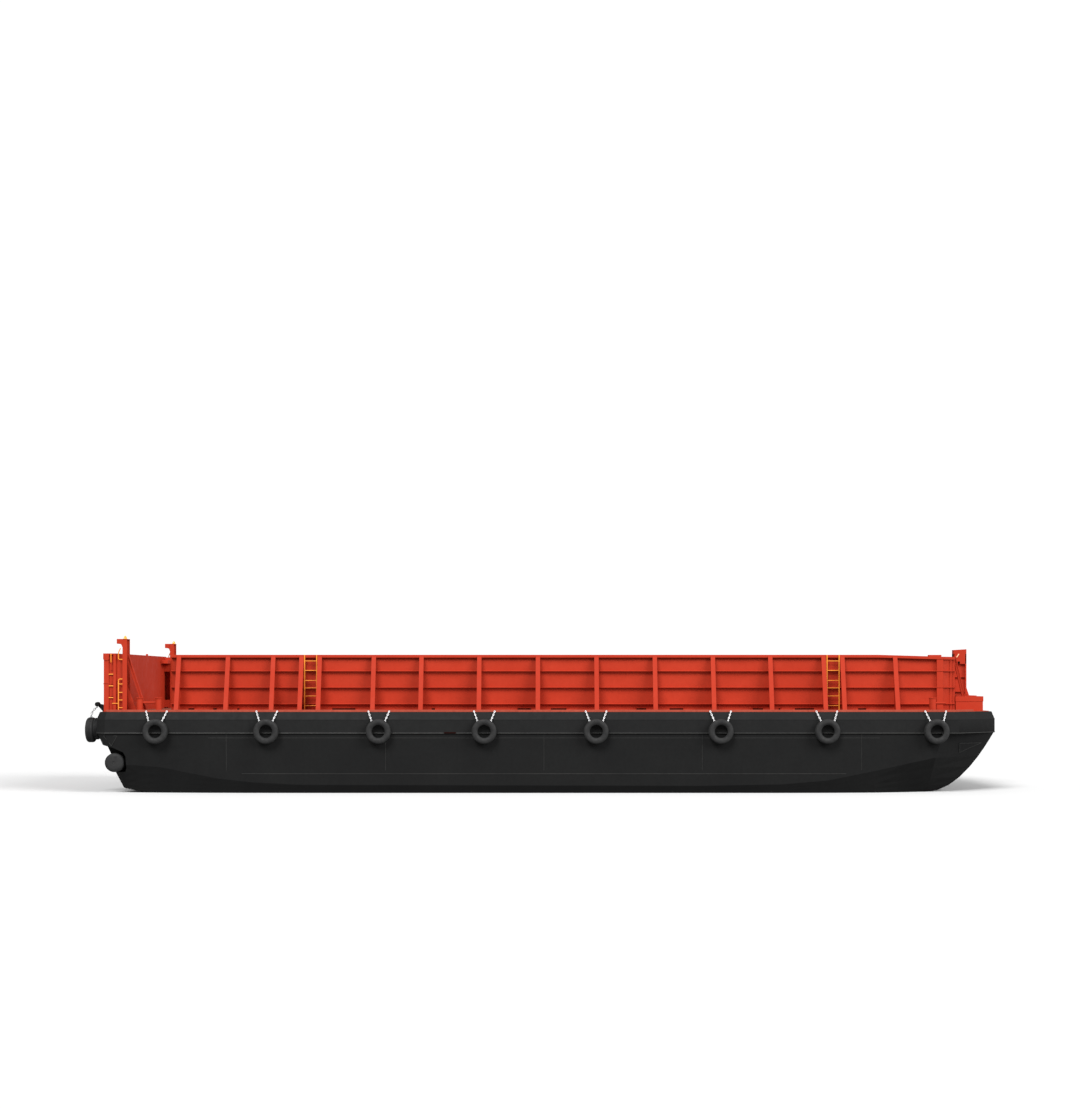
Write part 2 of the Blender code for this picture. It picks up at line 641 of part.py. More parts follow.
def make_hook_post(side, orange, nothing):
    """A post of I section with a horn at its head that holds a tug's line."""
    shape = bmesh.new()
    foot_z = DECK_Z + GAP
    x0, x1 = HOOK_POST_X
    y0, y1 = HOOK_POST_Y
    middle_x, middle_y = (x0 + x1) / 2, (y0 + y1) / 2
    i_beam(shape, (middle_x, side * middle_y, foot_z), (middle_x, side * middle_y, HOOK_POST_TOP_Z),
           x1 - x0, y1 - y0, HOOK_POST_FLANGE, (1, 0, 0))
    horn = [
        (x0 - HORN_LENGTH, HOOK_POST_TOP_Z), (x0 - HORN_LENGTH, HOOK_POST_TOP_Z - HORN_DEPTH),
    ]
    throat = 0.13
    for i in range(5):
        turn = math.radians(90 * i / 4)
        horn.append((x0 - throat * math.cos(turn) * 0.9 - 0.02,
                     HOOK_POST_TOP_Z - HORN_DEPTH - throat * (1 - math.sin(math.pi / 2 - turn))))
    horn += [(x0 + 0.06, HOOK_POST_TOP_Z - HORN_DEPTH - throat), (x0 + 0.06, HOOK_POST_TOP_Z)]
    side_prism(shape, horn, side * (y0 + 0.02), side * y1)
    block(shape, (x0 - 0.01, x1 + 0.01), (side * y0, side * y1), (HOOK_POST_TOP_Z - 0.03, HOOK_POST_TOP_Z))
    block(shape, (x0 - 0.06, x1 + 0.06), (side * (y0 - 0.03), side * (y1 + 0.05)),
          (foot_z, foot_z + BASE_PLATE))
    reach, high = POST_GUSSET
    gusset = ((x1 - 0.01, foot_z), (x1 + reach, foot_z), (x1 + reach, foot_z + 0.03), (x1 - 0.01, foot_z + high))
    side_prism(shape, gusset, side * (middle_y - 0.015), side * (middle_y + 0.015))
    weld(add_object("hook_post_" + side_name(side), shape, orange), nothing)

    shape = bmesh.new()
    turned(shape, (LAMP_X, side * (y1 - 0.12), HOOK_POST_TOP_Z + GAP), LAMP_PROFILE)
    return shape


def make_strut(side, orange):
    """The strut that rakes down from a hook post to the deck."""
    shape = bmesh.new()
    y = side * (HOOK_POST_Y[0] + HOOK_POST_Y[1]) / 2
    top_x, top_z = STRUT_TOP
    i_beam(shape, (top_x - 0.1, y, top_z + 0.3), (STRUT_FOOT_X + 0.05, y, DECK_Z - 0.15),
           STRUT_SIZE, STRUT_SIZE, 0.03, (0, 1, 0))
    strut = add_object("strut_" + side_name(side), shape, orange)
    post_face = HOOK_POST_X[1] + GAP
    trim(strut, (post_face - 1.0, post_face), (y - 0.3, y + 0.3), (top_z - 1.0, top_z + 1.0))
    trim(strut, (STRUT_FOOT_X - 1.0, STRUT_FOOT_X + 1.0), (y - 0.3, y + 0.3), (DECK_Z - 1.0, DECK_Z + GAP))


def make_stern_ladder(side, yellow, nothing):
    """Steps between the stern wall's end and the hook post: one stile, with rungs that run to the post."""
    shape = bmesh.new()
    x = STERN_LADDER_X
    y = side * (HOOK_POST_Y[1] - HOOK_POST_FLANGE / 2)
    post_x = HOOK_POST_X[0] - GAP
    bend = 0.06
    rod(shape, (x, y, DECK_Z + GAP), (x, y, STERN_LADDER_TOP_Z - bend), TUBE_RADIUS)
    rod(shape, (x, y, STERN_LADDER_TOP_Z - bend - 0.02), (x + bend, y, STERN_LADDER_TOP_Z), TUBE_RADIUS)
    rod(shape, (x + bend - 0.02, y, STERN_LADDER_TOP_Z), (post_x, y, STERN_LADDER_TOP_Z), TUBE_RADIUS)
    for z in STERN_LADDER_RUNGS:
        rod(shape, (x, y, z), (post_x, y, z), RUNG_RADIUS, 6)
    stay_x, stay_z = STERN_LADDER_STAY
    stay_y = side * (STERN_WALL_Y + RUNG_RADIUS + GAP)
    rod(shape, (stay_x, stay_y, stay_z), (x, stay_y, stay_z), RUNG_RADIUS, 6)
    weld(add_object("stern_ladder_" + side_name(side), shape, yellow), nothing)

    shape = bmesh.new()
    head_x, head_z = HANDLE_HEAD
    rod(shape, (post_x, y, HANDLE_LOW_Z), (x - 0.02, y, HANDLE_LOW_Z), TUBE_RADIUS)
    rod(shape, (x, y, HANDLE_LOW_Z - 0.02), (x, y, HANDLE_BEND_Z + 0.01), TUBE_RADIUS)
    rod(shape, (x, y, HANDLE_BEND_Z - 0.01), (head_x, y, head_z), TUBE_RADIUS)
    weld(add_object("grab_handle_" + side_name(side), shape, yellow), nothing)


def add_bollard(shape, x, y, radius, cap_radius):
    top_z = DECK_Z + BOLLARD_HIGH
    rod(shape, (x, y, DECK_Z + GAP), (x, y, top_z - 0.01), radius, 16)
    rod(shape, (x, y, top_z - BOLLARD_CAP_HIGH), (x, y, top_z), cap_radius, 16)


def make_stern_bollards(side, orange, nothing):
    shape = bmesh.new()
    y = side * BOLLARD_Y
    for x in BOLLARD_X:
        add_bollard(shape, x, y, BOLLARD_RADIUS, BOLLARD_CAP_RADIUS)
    bar_z = DECK_Z + BOLLARD_BAR_ABOVE_DECK
    rod(shape, (BOLLARD_X[0], y, bar_z), (BOLLARD_X[1], y, bar_z), 0.04)
    block(shape, (BOLLARD_X[0] - 0.22, BOLLARD_X[1] + 0.22), (y - 0.16, y + 0.16),
          (DECK_Z + GAP, DECK_Z + BASE_PLATE))
    weld(add_object("stern_bollards_" + side_name(side), shape, orange), nothing)


def make_bow_bollard(side, orange, nothing):
    shape = bmesh.new()
    y = side * BOLLARD_Y
    add_bollard(shape, BOW_BOLLARD_X, y, BOW_BOLLARD_RADIUS, BOW_BOLLARD_RADIUS + 0.02)
    bar_z = DECK_Z + BOLLARD_BAR_ABOVE_DECK - 0.02
    bar_y = side * (BOLLARD_Y + 0.07)
    rod(shape, (BOW_BOLLARD_X, bar_y, bar_z), (BOW_BAR_END_X, bar_y, bar_z), 0.035)
    block(shape, (BOW_BOLLARD_X - 0.21, BOW_BOLLARD_X + 0.21), (y - 0.17, y + 0.17),
          (DECK_Z + GAP, DECK_Z + BASE_PLATE))
    weld(add_object("bow_bollard_" + side_name(side), shape, orange), nothing)


def add_tyre(shape, centre, axis, radius, hole, width):
    """A tyre as a turned ring: flat tread, round shoulders, and a hole through the middle."""
    centre, axis = Vector(centre), Vector(axis).normalized()
    across = axis.orthogonal().normalized()
    up = axis.cross(across)
    half = width / 2
    profile = (
        (hole, -half * 0.62), (radius - 0.14, -half), (radius - 0.02, -half * 0.62), (radius, 0.0),
        (radius - 0.02, half * 0.62), (radius - 0.14, half), (hole, half * 0.62),
    )
    rings = []
    for i in range(TYRE_SIDES):
        turn = 2 * math.pi * i / TYRE_SIDES
        out = math.cos(turn) * across + math.sin(turn) * up
        rings.append([shape.verts.new(centre + out * r + axis * a) for r, a in profile])
    faces = []
    for i, ring in enumerate(rings):
        after = rings[(i + 1) % TYRE_SIDES]
        for j in range(len(profile)):
            k = (j + 1) % len(profile)
            faces.append(shape.faces.new((ring[j], after[j], after[k], ring[k])))
    fill(shape, faces)


def make_side_tyre(index, side, x, rubber, nothing):
    """A tyre on two chains that spread up to eyes on the deck's edge."""
    shape = bmesh.new()
    face_y = HALF_BEAM + GAP
    y = face_y + TYRE_WIDTH / 2
    add_tyre(shape, (x, side * y, TYRE_Z), (0, 1, 0), TYRE_RADIUS, TYRE_HOLE, TYRE_WIDTH)
    eye_y, eye_z = HALF_BEAM - EDGE_INSET + 0.02, HULL_TOP_Z + 0.045
    tyre_z = TYRE_Z + math.sqrt((TYRE_RADIUS - 0.06) ** 2 - CHAIN_TYRE_SPREAD**2)
    for end in (-1, 1):
        rod(shape, (x + end * CHAIN_DECK_SPREAD, side * eye_y, eye_z),
            (x + end * CHAIN_TYRE_SPREAD, side * (y + 0.02), tyre_z), CHAIN_RADIUS, 6)
    weld(add_object(f"tyre_{side_name(side)}_{index + 1}", shape, rubber), nothing)


def make_stern_tyre(side, rubber, nothing):
    """Two tyres flat against the transom, one on the other, on a chain from the fairlead above."""
    shape = bmesh.new()
    y = side * STERN_TYRE_Y
    backing_x = STERN_X - GAP - BACKING_TYRE_WIDTH / 2
    outer_x = -BOW_X + STERN_TYRE_WIDTH / 2
    add_tyre(shape, (backing_x, y, STERN_TYRE_Z + 0.05), (1, 0, 0), BACKING_TYRE_RADIUS, TYRE_HOLE,
             BACKING_TYRE_WIDTH)
    add_tyre(shape, (outer_x, y, STERN_TYRE_Z), (1, 0, 0), TYRE_RADIUS + 0.01, TYRE_HOLE, STERN_TYRE_WIDTH)
    knob_x, knob_z = FAIRLEAD_KNOB
    rod(shape, (outer_x + 0.02, y, STERN_TYRE_Z + TYRE_RADIUS - 0.1),
        (knob_x - 0.02, y, knob_z - FAIRLEAD_RADIUS - CHAIN_RADIUS), CHAIN_RADIUS, 6)
    weld(add_object("tyre_stern_" + side_name(side), shape, rubber), nothing)


def make_fairlead(side, black, nothing):
    """A bracket on the deck's aft margin whose knob overhangs the transom."""
    shape = bmesh.new()
    y = side * STERN_TYRE_Y
    knob_x, knob_z = FAIRLEAD_KNOB
    foot_z = HULL_TOP_Z + GAP
    block(shape, (-18.60, -18.485), (y - 0.12, y + 0.12), (foot_z, foot_z + BASE_PLATE))
    arm = ((-18.595, foot_z), (-18.50, foot_z), (-18.56, knob_z - 0.02), (knob_x, knob_z + 0.04),
           (knob_x, knob_z - 0.05))
    side_prism(shape, arm, y - 0.03, y + 0.03)
    rod(shape, (knob_x, y - 0.13, knob_z), (knob_x, y + 0.13, knob_z), FAIRLEAD_RADIUS, 12)
    weld(add_object("fairlead_" + side_name(side), shape, black), nothing)


def make_roller(side, rubber):
    """The round rubber fender that lies across the pocket in a stern corner."""
    shape = bmesh.new()
    rod(shape, (ROLLER_X, side * (ROLLER_Y[0] - 0.01 + GAP), ROLLER_Z), (ROLLER_X, side * ROLLER_Y[1], ROLLER_Z),
        ROLLER_RADIUS, ROLLER_SIDES)
    add_object("stern_roller_" + side_name(side), shape, rubber)


def make_locker(side, orange, nothing):
    """One of the low lockers across the bow: plate walls with a skirt, and a top with a hatch."""
    shape = bmesh.new()
    foot_z, top_z = DECK_Z + GAP, DECK_Z + LOCKER_HIGH
    x0, x1 = LOCKER_X
    y0, y1 = LOCKER_Y
    skirt = (top_z - LOCKER_SKIRT, top_z)
    wall = (foot_z, top_z - 0.01)
    top = (top_z - LOCKER_PLATE, top_z)
    inset = 0.015
    hatch_x = (LID_X[0] + LID_LAP, LID_X[1] - LID_LAP)
    hatch_y = (LID_Y[0] + LID_LAP, LID_Y[1] - LID_LAP)
    plates = [
        ((x0, hatch_x[0]), (y0, y1), top),
        ((hatch_x[1], x1), (y0, y1), top),
        ((x0 + 0.01, x1 - 0.01), (y0 + 0.01, hatch_y[0]), top),
        ((x0 + 0.01, x1 - 0.01), (hatch_y[1], y1 - 0.01), top),
    ]
    for x_in, x_out in ((x0 + LOCKER_PLATE, x0), (x1 - LOCKER_PLATE, x1)):
        plates.append(((x_in, x_out + math.copysign(inset, x_in - x_out)), (y0 + inset, y1 - inset), wall))
        plates.append(((x_in, x_out), (y0 + 0.01, y1 - 0.01), skirt))
    for y_in, y_out in ((y0 + LOCKER_PLATE, y0), (y1 - LOCKER_PLATE, y1)):
        plates.append(((x0 + inset, x1 - inset), (y_in, y_out + math.copysign(inset, y_in - y_out)), wall))
        plates.append(((x0, x1), (y_in, y_out), skirt))
    for xs, ys, zs in plates:
        block(shape, xs, [side * y for y in ys], zs)
    weld(add_object("bow_locker_" + side_name(side), shape, orange), nothing)


def make_lid(side, orange, nothing):
    """A locker lid, on a hinge along its aft edge."""
    shape = bmesh.new()
    low_z = DECK_Z + LOCKER_HIGH + GAP
    ys = (side * LID_Y[0], side * LID_Y[1])
    block(shape, LID_X, ys, (low_z, low_z + LID_THICK))
    hinge_z = low_z + HINGE_RADIUS
    for share in (0.2, 0.8):
        y = side * (LID_Y[0] + (LID_Y[1] - LID_Y[0]) * share)
        rod(shape, (LID_X[0], y - 0.12, hinge_z), (LID_X[0], y + 0.12, hinge_z), HINGE_RADIUS, 8)
    bar_x = LID_X[1] - 0.10
    middle = side * (LID_Y[0] + LID_Y[1]) / 2
    block(shape, (bar_x - 0.012, bar_x + 0.012), (middle - 0.09, middle + 0.09), (low_z + 0.01, low_z + 0.06))
    lid = weld(add_object("locker_lid_" + side_name(side), shape, orange), nothing)
    axis = Vector((LID_X[0], 0, hinge_z))
    lid.data.transform(Matrix.Translation(-axis))
    lid.location = axis


def make_tower(orange):
    """The light tower that stands on the deck between the lockers, with a spread toe."""
    shape = bmesh.new()
    x0, x1 = TOWER_X
    foot_z = DECK_Z + GAP
    toe_z, flare_z = TOWER_FLARE_Z
    profile = (
        (x0, foot_z), (TOWER_TOE_X, foot_z), (TOWER_TOE_X, toe_z), (x1, flare_z),
        (x1, TOWER_TOP_Z + TOWER_TOP_RISE), (x0, TOWER_TOP_Z),
    )
    side_prism(shape, profile, -TOWER_HALF_Y, TOWER_HALF_Y)
    add_object("light_tower", shape, orange)


def make_brace(side, orange):
    """The brace that rakes down from the bin's bow rail to the locker's top."""
    shape = bmesh.new()
    y = side * BRACE_Y
    top_x, top_z = BRACE_TOP
    foot_z = DECK_Z + LOCKER_HIGH + GAP
    i_beam(shape, (top_x - 0.02, y, top_z + 0.1), (BRACE_FOOT_X + 0.03, y, foot_z - 0.13),
           BRACE_SIZE, BRACE_SIZE, 0.02, (0, 1, 0))
    brace = add_object("bow_brace_" + side_name(side), shape, orange)
    rail_x = BIN_FORE_X + BIN_CORNER + RAIL_OUT + GAP
    trim(brace, (rail_x - 1.0, rail_x), (y - 0.3, y + 0.3), (foot_z, top_z + 1.0))
    trim(brace, (rail_x - 1.0, BRACE_FOOT_X + 1.0), (y - 0.3, y + 0.3), (foot_z - 1.0, foot_z))


def main():
    clear_scene()
    nothing = bpy.data.collections.new("no_operands")
    black = paint("hull_black", (0.035, 0.036, 0.038), 0.55)
    orange = paint("orange_paint", (0.65, 0.075, 0.03), 0.5)
    yellow = paint("safety_yellow", (0.80, 0.42, 0.03), 0.5)
    rubber = paint("tyre_rubber", (0.03, 0.03, 0.032), 0.8)
    amber = paint("lamp_amber", (0.85, 0.45, 0.05), 0.25)

    make_hull(black, nothing)
    make_deck(orange, nothing)
    make_cargo_floor(orange)
    make_bin_bow_wall(orange, nothing)
    make_stern_wall(orange, nothing)
    make_tower(orange)
    for side in (1, -1):
        make_bin_side(side, orange, nothing)
        make_bin_corner(side, orange, nothing)
        for place, x in zip(("aft", "fore"), LADDER_X):
            make_ladder(f"ladder_{side_name(side)}_{place}", side, x, yellow, nothing)
        lamp = make_hook_post(side, orange, nothing)
        add_object("lamp_" + side_name(side), lamp, amber)
        make_strut(side, orange)
        make_stern_ladder(side, yellow, nothing)
        make_stern_bollards(side, orange, nothing)
        make_bow_bollard(side, orange, nothing)
        for index, x in enumerate(TYRE_X):
            make_side_tyre(index, side, x, rubber, nothing)
        make_stern_tyre(side, rubber, nothing)
        make_fairlead(side, black, nothing)
        make_roller(side, rubber)
        make_locker(side, orange, nothing)
        make_lid(side, orange, nothing)
        make_brace(side, orange)


main()
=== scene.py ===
"""Looks for the river barge: materials, fine shapes, light and camera.

Metres, +Z up, the bow to +X and port to +Y. side is +1 for port and -1 for starboard. Every mesh is built
in place, so object coordinates in the materials are metres on the barge.
"""

import math

import bmesh
import bpy
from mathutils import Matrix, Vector
from mathutils.bvhtree import BVHTree


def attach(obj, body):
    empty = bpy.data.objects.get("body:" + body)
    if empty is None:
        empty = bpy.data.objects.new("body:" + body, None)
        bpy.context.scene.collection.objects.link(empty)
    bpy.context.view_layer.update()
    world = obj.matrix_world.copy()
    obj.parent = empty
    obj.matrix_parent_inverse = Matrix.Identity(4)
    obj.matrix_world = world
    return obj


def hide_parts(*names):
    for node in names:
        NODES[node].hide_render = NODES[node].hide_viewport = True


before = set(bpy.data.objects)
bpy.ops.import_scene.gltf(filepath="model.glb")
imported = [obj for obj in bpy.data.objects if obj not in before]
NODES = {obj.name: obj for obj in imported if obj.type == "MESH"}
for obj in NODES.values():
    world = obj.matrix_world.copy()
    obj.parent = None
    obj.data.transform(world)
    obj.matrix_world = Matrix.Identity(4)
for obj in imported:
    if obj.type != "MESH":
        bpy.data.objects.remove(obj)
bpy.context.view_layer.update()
SIDES = (("port", 1), ("starboard", -1))

# Sizes shared with the solids
GAP = 0.0003
DECK_Z = 3.41
BOW_X = 19.265
STERN_X = -18.735
HALF_BEAM = 5.5
BOW_CHAMFER = 2.0
STERN_CHAMFER = 0.44
EDGE_INSET = 0.125
BAND_LOW_Z = 2.49
BAND_HIGH_Z = 3.07
HULL_TOP_Z = 3.3847
BIN_AFT_X = -15.755
BIN_FORE_X = 16.86
BIN_Y = 4.35
BIN_CORNER = 0.49
BIN_PLATE = 0.05
RAIL_TOP_Z = 5.785
RAIL_BOW_TOP_Z = 5.705
RAIL_DROP_X = 14.1
RAIL_DEPTH = 0.12
RAIL_OUT = 0.14
STRINGERS = (0.30, 1.00, 1.69)
STRINGER_THICK = 0.03
STRINGER_OUT = 0.14
BUTTRESS_X = (
    -15.395, -13.325, -11.415, -10.225, -9.455, -7.175, -5.165, -2.725, -0.255,
    2.215, 4.675, 7.125, 9.545, 11.795, 12.585, 14.815,
)
BUTTRESS_FLANGE = 0.19
BUTTRESS_THICK = 0.03
BUTTRESS_FOOT = 0.85
BUTTRESS_HEAD = 0.16
CORNER_POST_X = (16.58, 16.85)
CORNER_POST_OUT = 0.12
CAP_BLOCK_X = (16.23, 16.78)
CAP_BLOCK_HIGH = 0.075
LADDER_X = (-9.84, 12.195)
LADDER_SPACING = 0.51
TYRE_X = (-16.155, -11.555, -6.885, -2.485, 2.175, 7.365, 11.795, 16.335)
TYRE_Z = 2.58
TYRE_RADIUS = 0.52
TYRE_HOLE = 0.27
TYRE_WIDTH = 0.30
STERN_TYRE_Y = 4.48
STERN_TYRE_Z = 2.62


# Materials


def tree_of(name):
    material = bpy.data.materials.new(name)
    material.use_nodes = True
    nodes = material.node_tree.nodes
    return material, nodes, material.node_tree.links, nodes["Principled BSDF"]


def place(nodes, links, scale=(1, 1, 1)):
    """Object coordinates, scaled on each axis."""
    coordinates = nodes.new("ShaderNodeTexCoord")
    mapping = nodes.new("ShaderNodeMapping")
    mapping.inputs["Scale"].default_value = scale
    links.new(coordinates.outputs["Object"], mapping.inputs["Vector"])
    return mapping.outputs["Vector"]


def noise(nodes, links, vector, scale, detail=4.0, roughness=0.55):
    texture = nodes.new("ShaderNodeTexNoise")
    texture.inputs["Scale"].default_value = scale
    texture.inputs["Detail"].default_value = detail
    texture.inputs["Roughness"].default_value = roughness
    links.new(vector, texture.inputs["Vector"])
    return texture.outputs["Fac"]


def ramp(nodes, links, value, stops):
    """A colour ramp. stops: (position, grey or colour)."""
    node = nodes.new("ShaderNodeValToRGB")
    while len(node.color_ramp.elements) < len(stops):
        node.color_ramp.elements.new(0.5)
    for element, (position, colour) in zip(node.color_ramp.elements, stops):
        element.position = position
        element.color = (colour, colour, colour, 1) if isinstance(colour, (int, float)) else (*colour, 1)
    links.new(value, node.inputs["Fac"])
    return node.outputs["Color"]


def mix(nodes, links, factor, a, b, blend="MIX"):
    node = nodes.new("ShaderNodeMix")
    node.data_type = "RGBA"
    node.blend_type = blend
    for value, socket in ((factor, node.inputs["Factor"]), (a, node.inputs[6]), (b, node.inputs[7])):
        if isinstance(value, bpy.types.NodeSocket):
            links.new(value, socket)
        elif isinstance(value, tuple):
            socket.default_value = (*value, 1)
        else:
            socket.default_value = value
    return node.outputs[2]


def bump(nodes, links, height, distance, strength=1.0, under=None):
    node = nodes.new("ShaderNodeBump")
    node.inputs["Strength"].default_value = strength
    node.inputs["Distance"].default_value = distance
    links.new(height, node.inputs["Height"])
    if under:
        links.new(under, node.inputs["Normal"])
    return node.outputs["Normal"]


def painted_steel(name, base, light, dark, rust, rust_amount, roughness, specular, plate_wave=0.004, wear=1.0,
                  painted_light_lift=None):
    """Brushed marine paint over plate: cloudy tone, rain streaks, dust, scuffs with rust, and a slight wave.

    painted_light_lift, (z, z, gain), is painted light: it makes the paint lighter from the first height upward, at full
    gain from the second, as a face that catches more light looks.
    """
    material, nodes, links, shader = tree_of(name)
    shader.inputs["Specular IOR Level"].default_value = specular
    level = place(nodes, links)
    streaks = place(nodes, links, (5.0, 5.0, 0.35))
    cloud = ramp(nodes, links, noise(nodes, links, level, 0.55, 5), ((0.35, 0.0), (0.68, 1.0)))
    colour = mix(nodes, links, cloud, base, light)
    fine = ramp(nodes, links, noise(nodes, links, level, 7.0, 6, 0.65), ((0.42, 0.0), (0.72, 0.55 * wear)))
    colour = mix(nodes, links, fine, colour, dark)
    rain = ramp(nodes, links, noise(nodes, links, streaks, 1.4, 5, 0.6), ((0.55, 0.0), (0.78, 0.42 * wear)))
    colour = mix(nodes, links, rain, colour, dark)
    spots = ramp(nodes, links, noise(nodes, links, level, 16.0, 8, 0.72),
                 ((0.70 - rust_amount, 0.0), (0.745 - rust_amount, 1.0)))
    runs = ramp(nodes, links, noise(nodes, links, streaks, 2.3, 7, 0.7),
                ((0.69 - rust_amount, 0.0), (0.80 - rust_amount, 0.55 * wear)))
    colour = mix(nodes, links, runs, colour, rust)
    colour = mix(nodes, links, spots, colour, rust)
    # Painted light: the paint is made lighter from a height upward, standing in for the light that falls on the higher
    # faces.
    if painted_light_lift:
        low, high, gain = painted_light_lift
        split = nodes.new("ShaderNodeSeparateXYZ")
        links.new(level, split.inputs["Vector"])
        reach = nodes.new("ShaderNodeMapRange")
        reach.inputs["From Min"].default_value = low
        reach.inputs["From Max"].default_value = high
        links.new(split.outputs["Z"], reach.inputs["Value"])
        colour = mix(nodes, links, reach.outputs["Result"], colour,
                     mix(nodes, links, 1.0, colour, (gain, gain, gain), "MULTIPLY"))
    links.new(colour, shader.inputs["Base Color"])
    gloss = ramp(nodes, links, noise(nodes, links, level, 2.6, 5),
                 ((0.3, roughness - 0.08), (0.7, roughness + 0.10)))
    links.new(mix(nodes, links, spots, gloss, (0.9, 0.9, 0.9)), shader.inputs["Roughness"])
    wave = bump(nodes, links, noise(nodes, links, level, 1.1, 2), plate_wave)
    peel = bump(nodes, links, noise(nodes, links, level, 55.0, 3), 0.0011, 0.6, wave)
    links.new(bump(nodes, links, spots, 0.0016, 0.5, peel), shader.inputs["Normal"])
    return material


def rubber_material():
    material, nodes, links, shader = tree_of("tyre_rubber")
    shader.inputs["Specular IOR Level"].default_value = 0.35
    level = place(nodes, links)
    dust = ramp(nodes, links, noise(nodes, links, level, 5.5, 6, 0.6), ((0.35, 0.0), (0.75, 1.0)))
    colour = mix(nodes, links, dust, (0.011, 0.011, 0.0115), (0.022, 0.022, 0.0215))
    scuff = ramp(nodes, links, noise(nodes, links, place(nodes, links, (1, 1, 3)), 22.0, 6, 0.7),
                 ((0.62, 0.0), (0.75, 0.7)))
    colour = mix(nodes, links, scuff, colour, (0.045, 0.044, 0.042))
    links.new(colour, shader.inputs["Base Color"])
    links.new(ramp(nodes, links, noise(nodes, links, level, 9.0, 4), ((0.3, 0.62), (0.7, 0.86))),
              shader.inputs["Roughness"])
    grain = bump(nodes, links, noise(nodes, links, level, 90.0, 4), 0.002, 0.5)
    links.new(bump(nodes, links, scuff, 0.003, 0.5, grain), shader.inputs["Normal"])
    return material


def galvanised_material():
    material, nodes, links, shader = tree_of("chain_steel")
    shader.inputs["Metallic"].default_value = 0.35
    level = place(nodes, links)
    tone = ramp(nodes, links, noise(nodes, links, level, 30.0, 5), ((0.35, (0.62, 0.63, 0.64)), (0.7, (0.93, 0.93, 0.92))))
    rust = ramp(nodes, links, noise(nodes, links, level, 14.0, 6, 0.7), ((0.62, 0.0), (0.74, 0.5)))
    links.new(mix(nodes, links, rust, tone, (0.33, 0.17, 0.08)), shader.inputs["Base Color"])
    links.new(ramp(nodes, links, noise(nodes, links, level, 40.0, 4), ((0.3, 0.35), (0.7, 0.55))),
              shader.inputs["Roughness"])
    links.new(bump(nodes, links, noise(nodes, links, level, 120.0, 3), 0.001, 0.5), shader.inputs["Normal"])
    return material


def lens_material(name, low, high):
    material, nodes, links, shader = tree_of(name)
    level = place(nodes, links)
    tone = ramp(nodes, links, noise(nodes, links, level, 12.0, 3), ((0.3, low), (0.7, high)))
    links.new(tone, shader.inputs["Base Color"])
    shader.inputs["Roughness"].default_value = 0.18
    shader.inputs["Coat Weight"].default_value = 0.5
    shader.inputs["Emission Color"].default_value = (1.0, 0.42, 0.05, 1)
    shader.inputs["Emission Strength"].default_value = 0.15
    links.new(bump(nodes, links, noise(nodes, links, place(nodes, links, (1, 1, 9)), 40.0, 2), 0.001, 0.5),
              shader.inputs["Normal"])
    return material


ORANGE = painted_steel("orange_paint", (0.40, 0.031, 0.012), (0.44, 0.037, 0.015), (0.34, 0.022, 0.008),
                       (0.16, 0.030, 0.012), -0.01, 0.55, 0.10, 0.006, 0.5)
DECK_ORANGE = painted_steel("deck_paint", (0.34, 0.055, 0.030), (0.40, 0.075, 0.045), (0.25, 0.035, 0.020),
                            (0.15, 0.050, 0.025), 0.04, 0.65, 0.15)
FLOOR_STEEL = painted_steel("cargo_floor", (0.20, 0.070, 0.040), (0.30, 0.060, 0.030), (0.11, 0.070, 0.055),
                            (0.13, 0.055, 0.030), 0.12, 0.70, 0.2)
# The hull black is painted lighter from z 2.42 up: painted light for the fender band and upper facet catching more sky
# and sun.
BLACK = painted_steel("hull_black", (0.0105, 0.0106, 0.0107), (0.0125, 0.0127, 0.0126), (0.0080, 0.0081, 0.0081),
                      (0.022, 0.017, 0.013), -0.02, 0.58, 0.07, 0.008, 0.8, (2.42, 2.50, 1.25))
# A lighter copy of the hull black, partly real edge wear and partly painted highlight, so the low rubbing bar's top and
# the weld seams read as thin light lines.
EDGE_WEAR_AND_HIGHLIGHT_BLACK = painted_steel("worn_edge_and_painted_highlight", (0.030, 0.030, 0.029), (0.048, 0.047, 0.045), (0.016, 0.016, 0.016),
                           (0.050, 0.032, 0.020), 0.03, 0.45, 0.25, 0.0)
YELLOW = painted_steel("safety_yellow", (0.80, 0.25, 0.022), (0.90, 0.34, 0.040), (0.60, 0.15, 0.015),
                       (0.28, 0.08, 0.02), 0.0, 0.45, 0.3, 0.0, 0.6)
RUBBER = rubber_material()
GALVANISED = galvanised_material()
AMBER = lens_material("lamp_amber", (0.90, 0.30, 0.03), (1.0, 0.45, 0.08))
CLEAR = lens_material("lamp_glass", (0.95, 0.48, 0.28), (1.0, 0.62, 0.42))
# Near-black paint that is painted shade: it stands for the shadow inside the scuppers, the hull's drain slot and the
# tower's sockets.
SLOT_PAINTED_SHADE = painted_steel("slot_shade", (0.012, 0.003, 0.002), (0.018, 0.004, 0.003), (0.007, 0.002, 0.002),
                          (0.014, 0.005, 0.003), 0.0, 0.85, 0.03, 0.0)


# Shapes


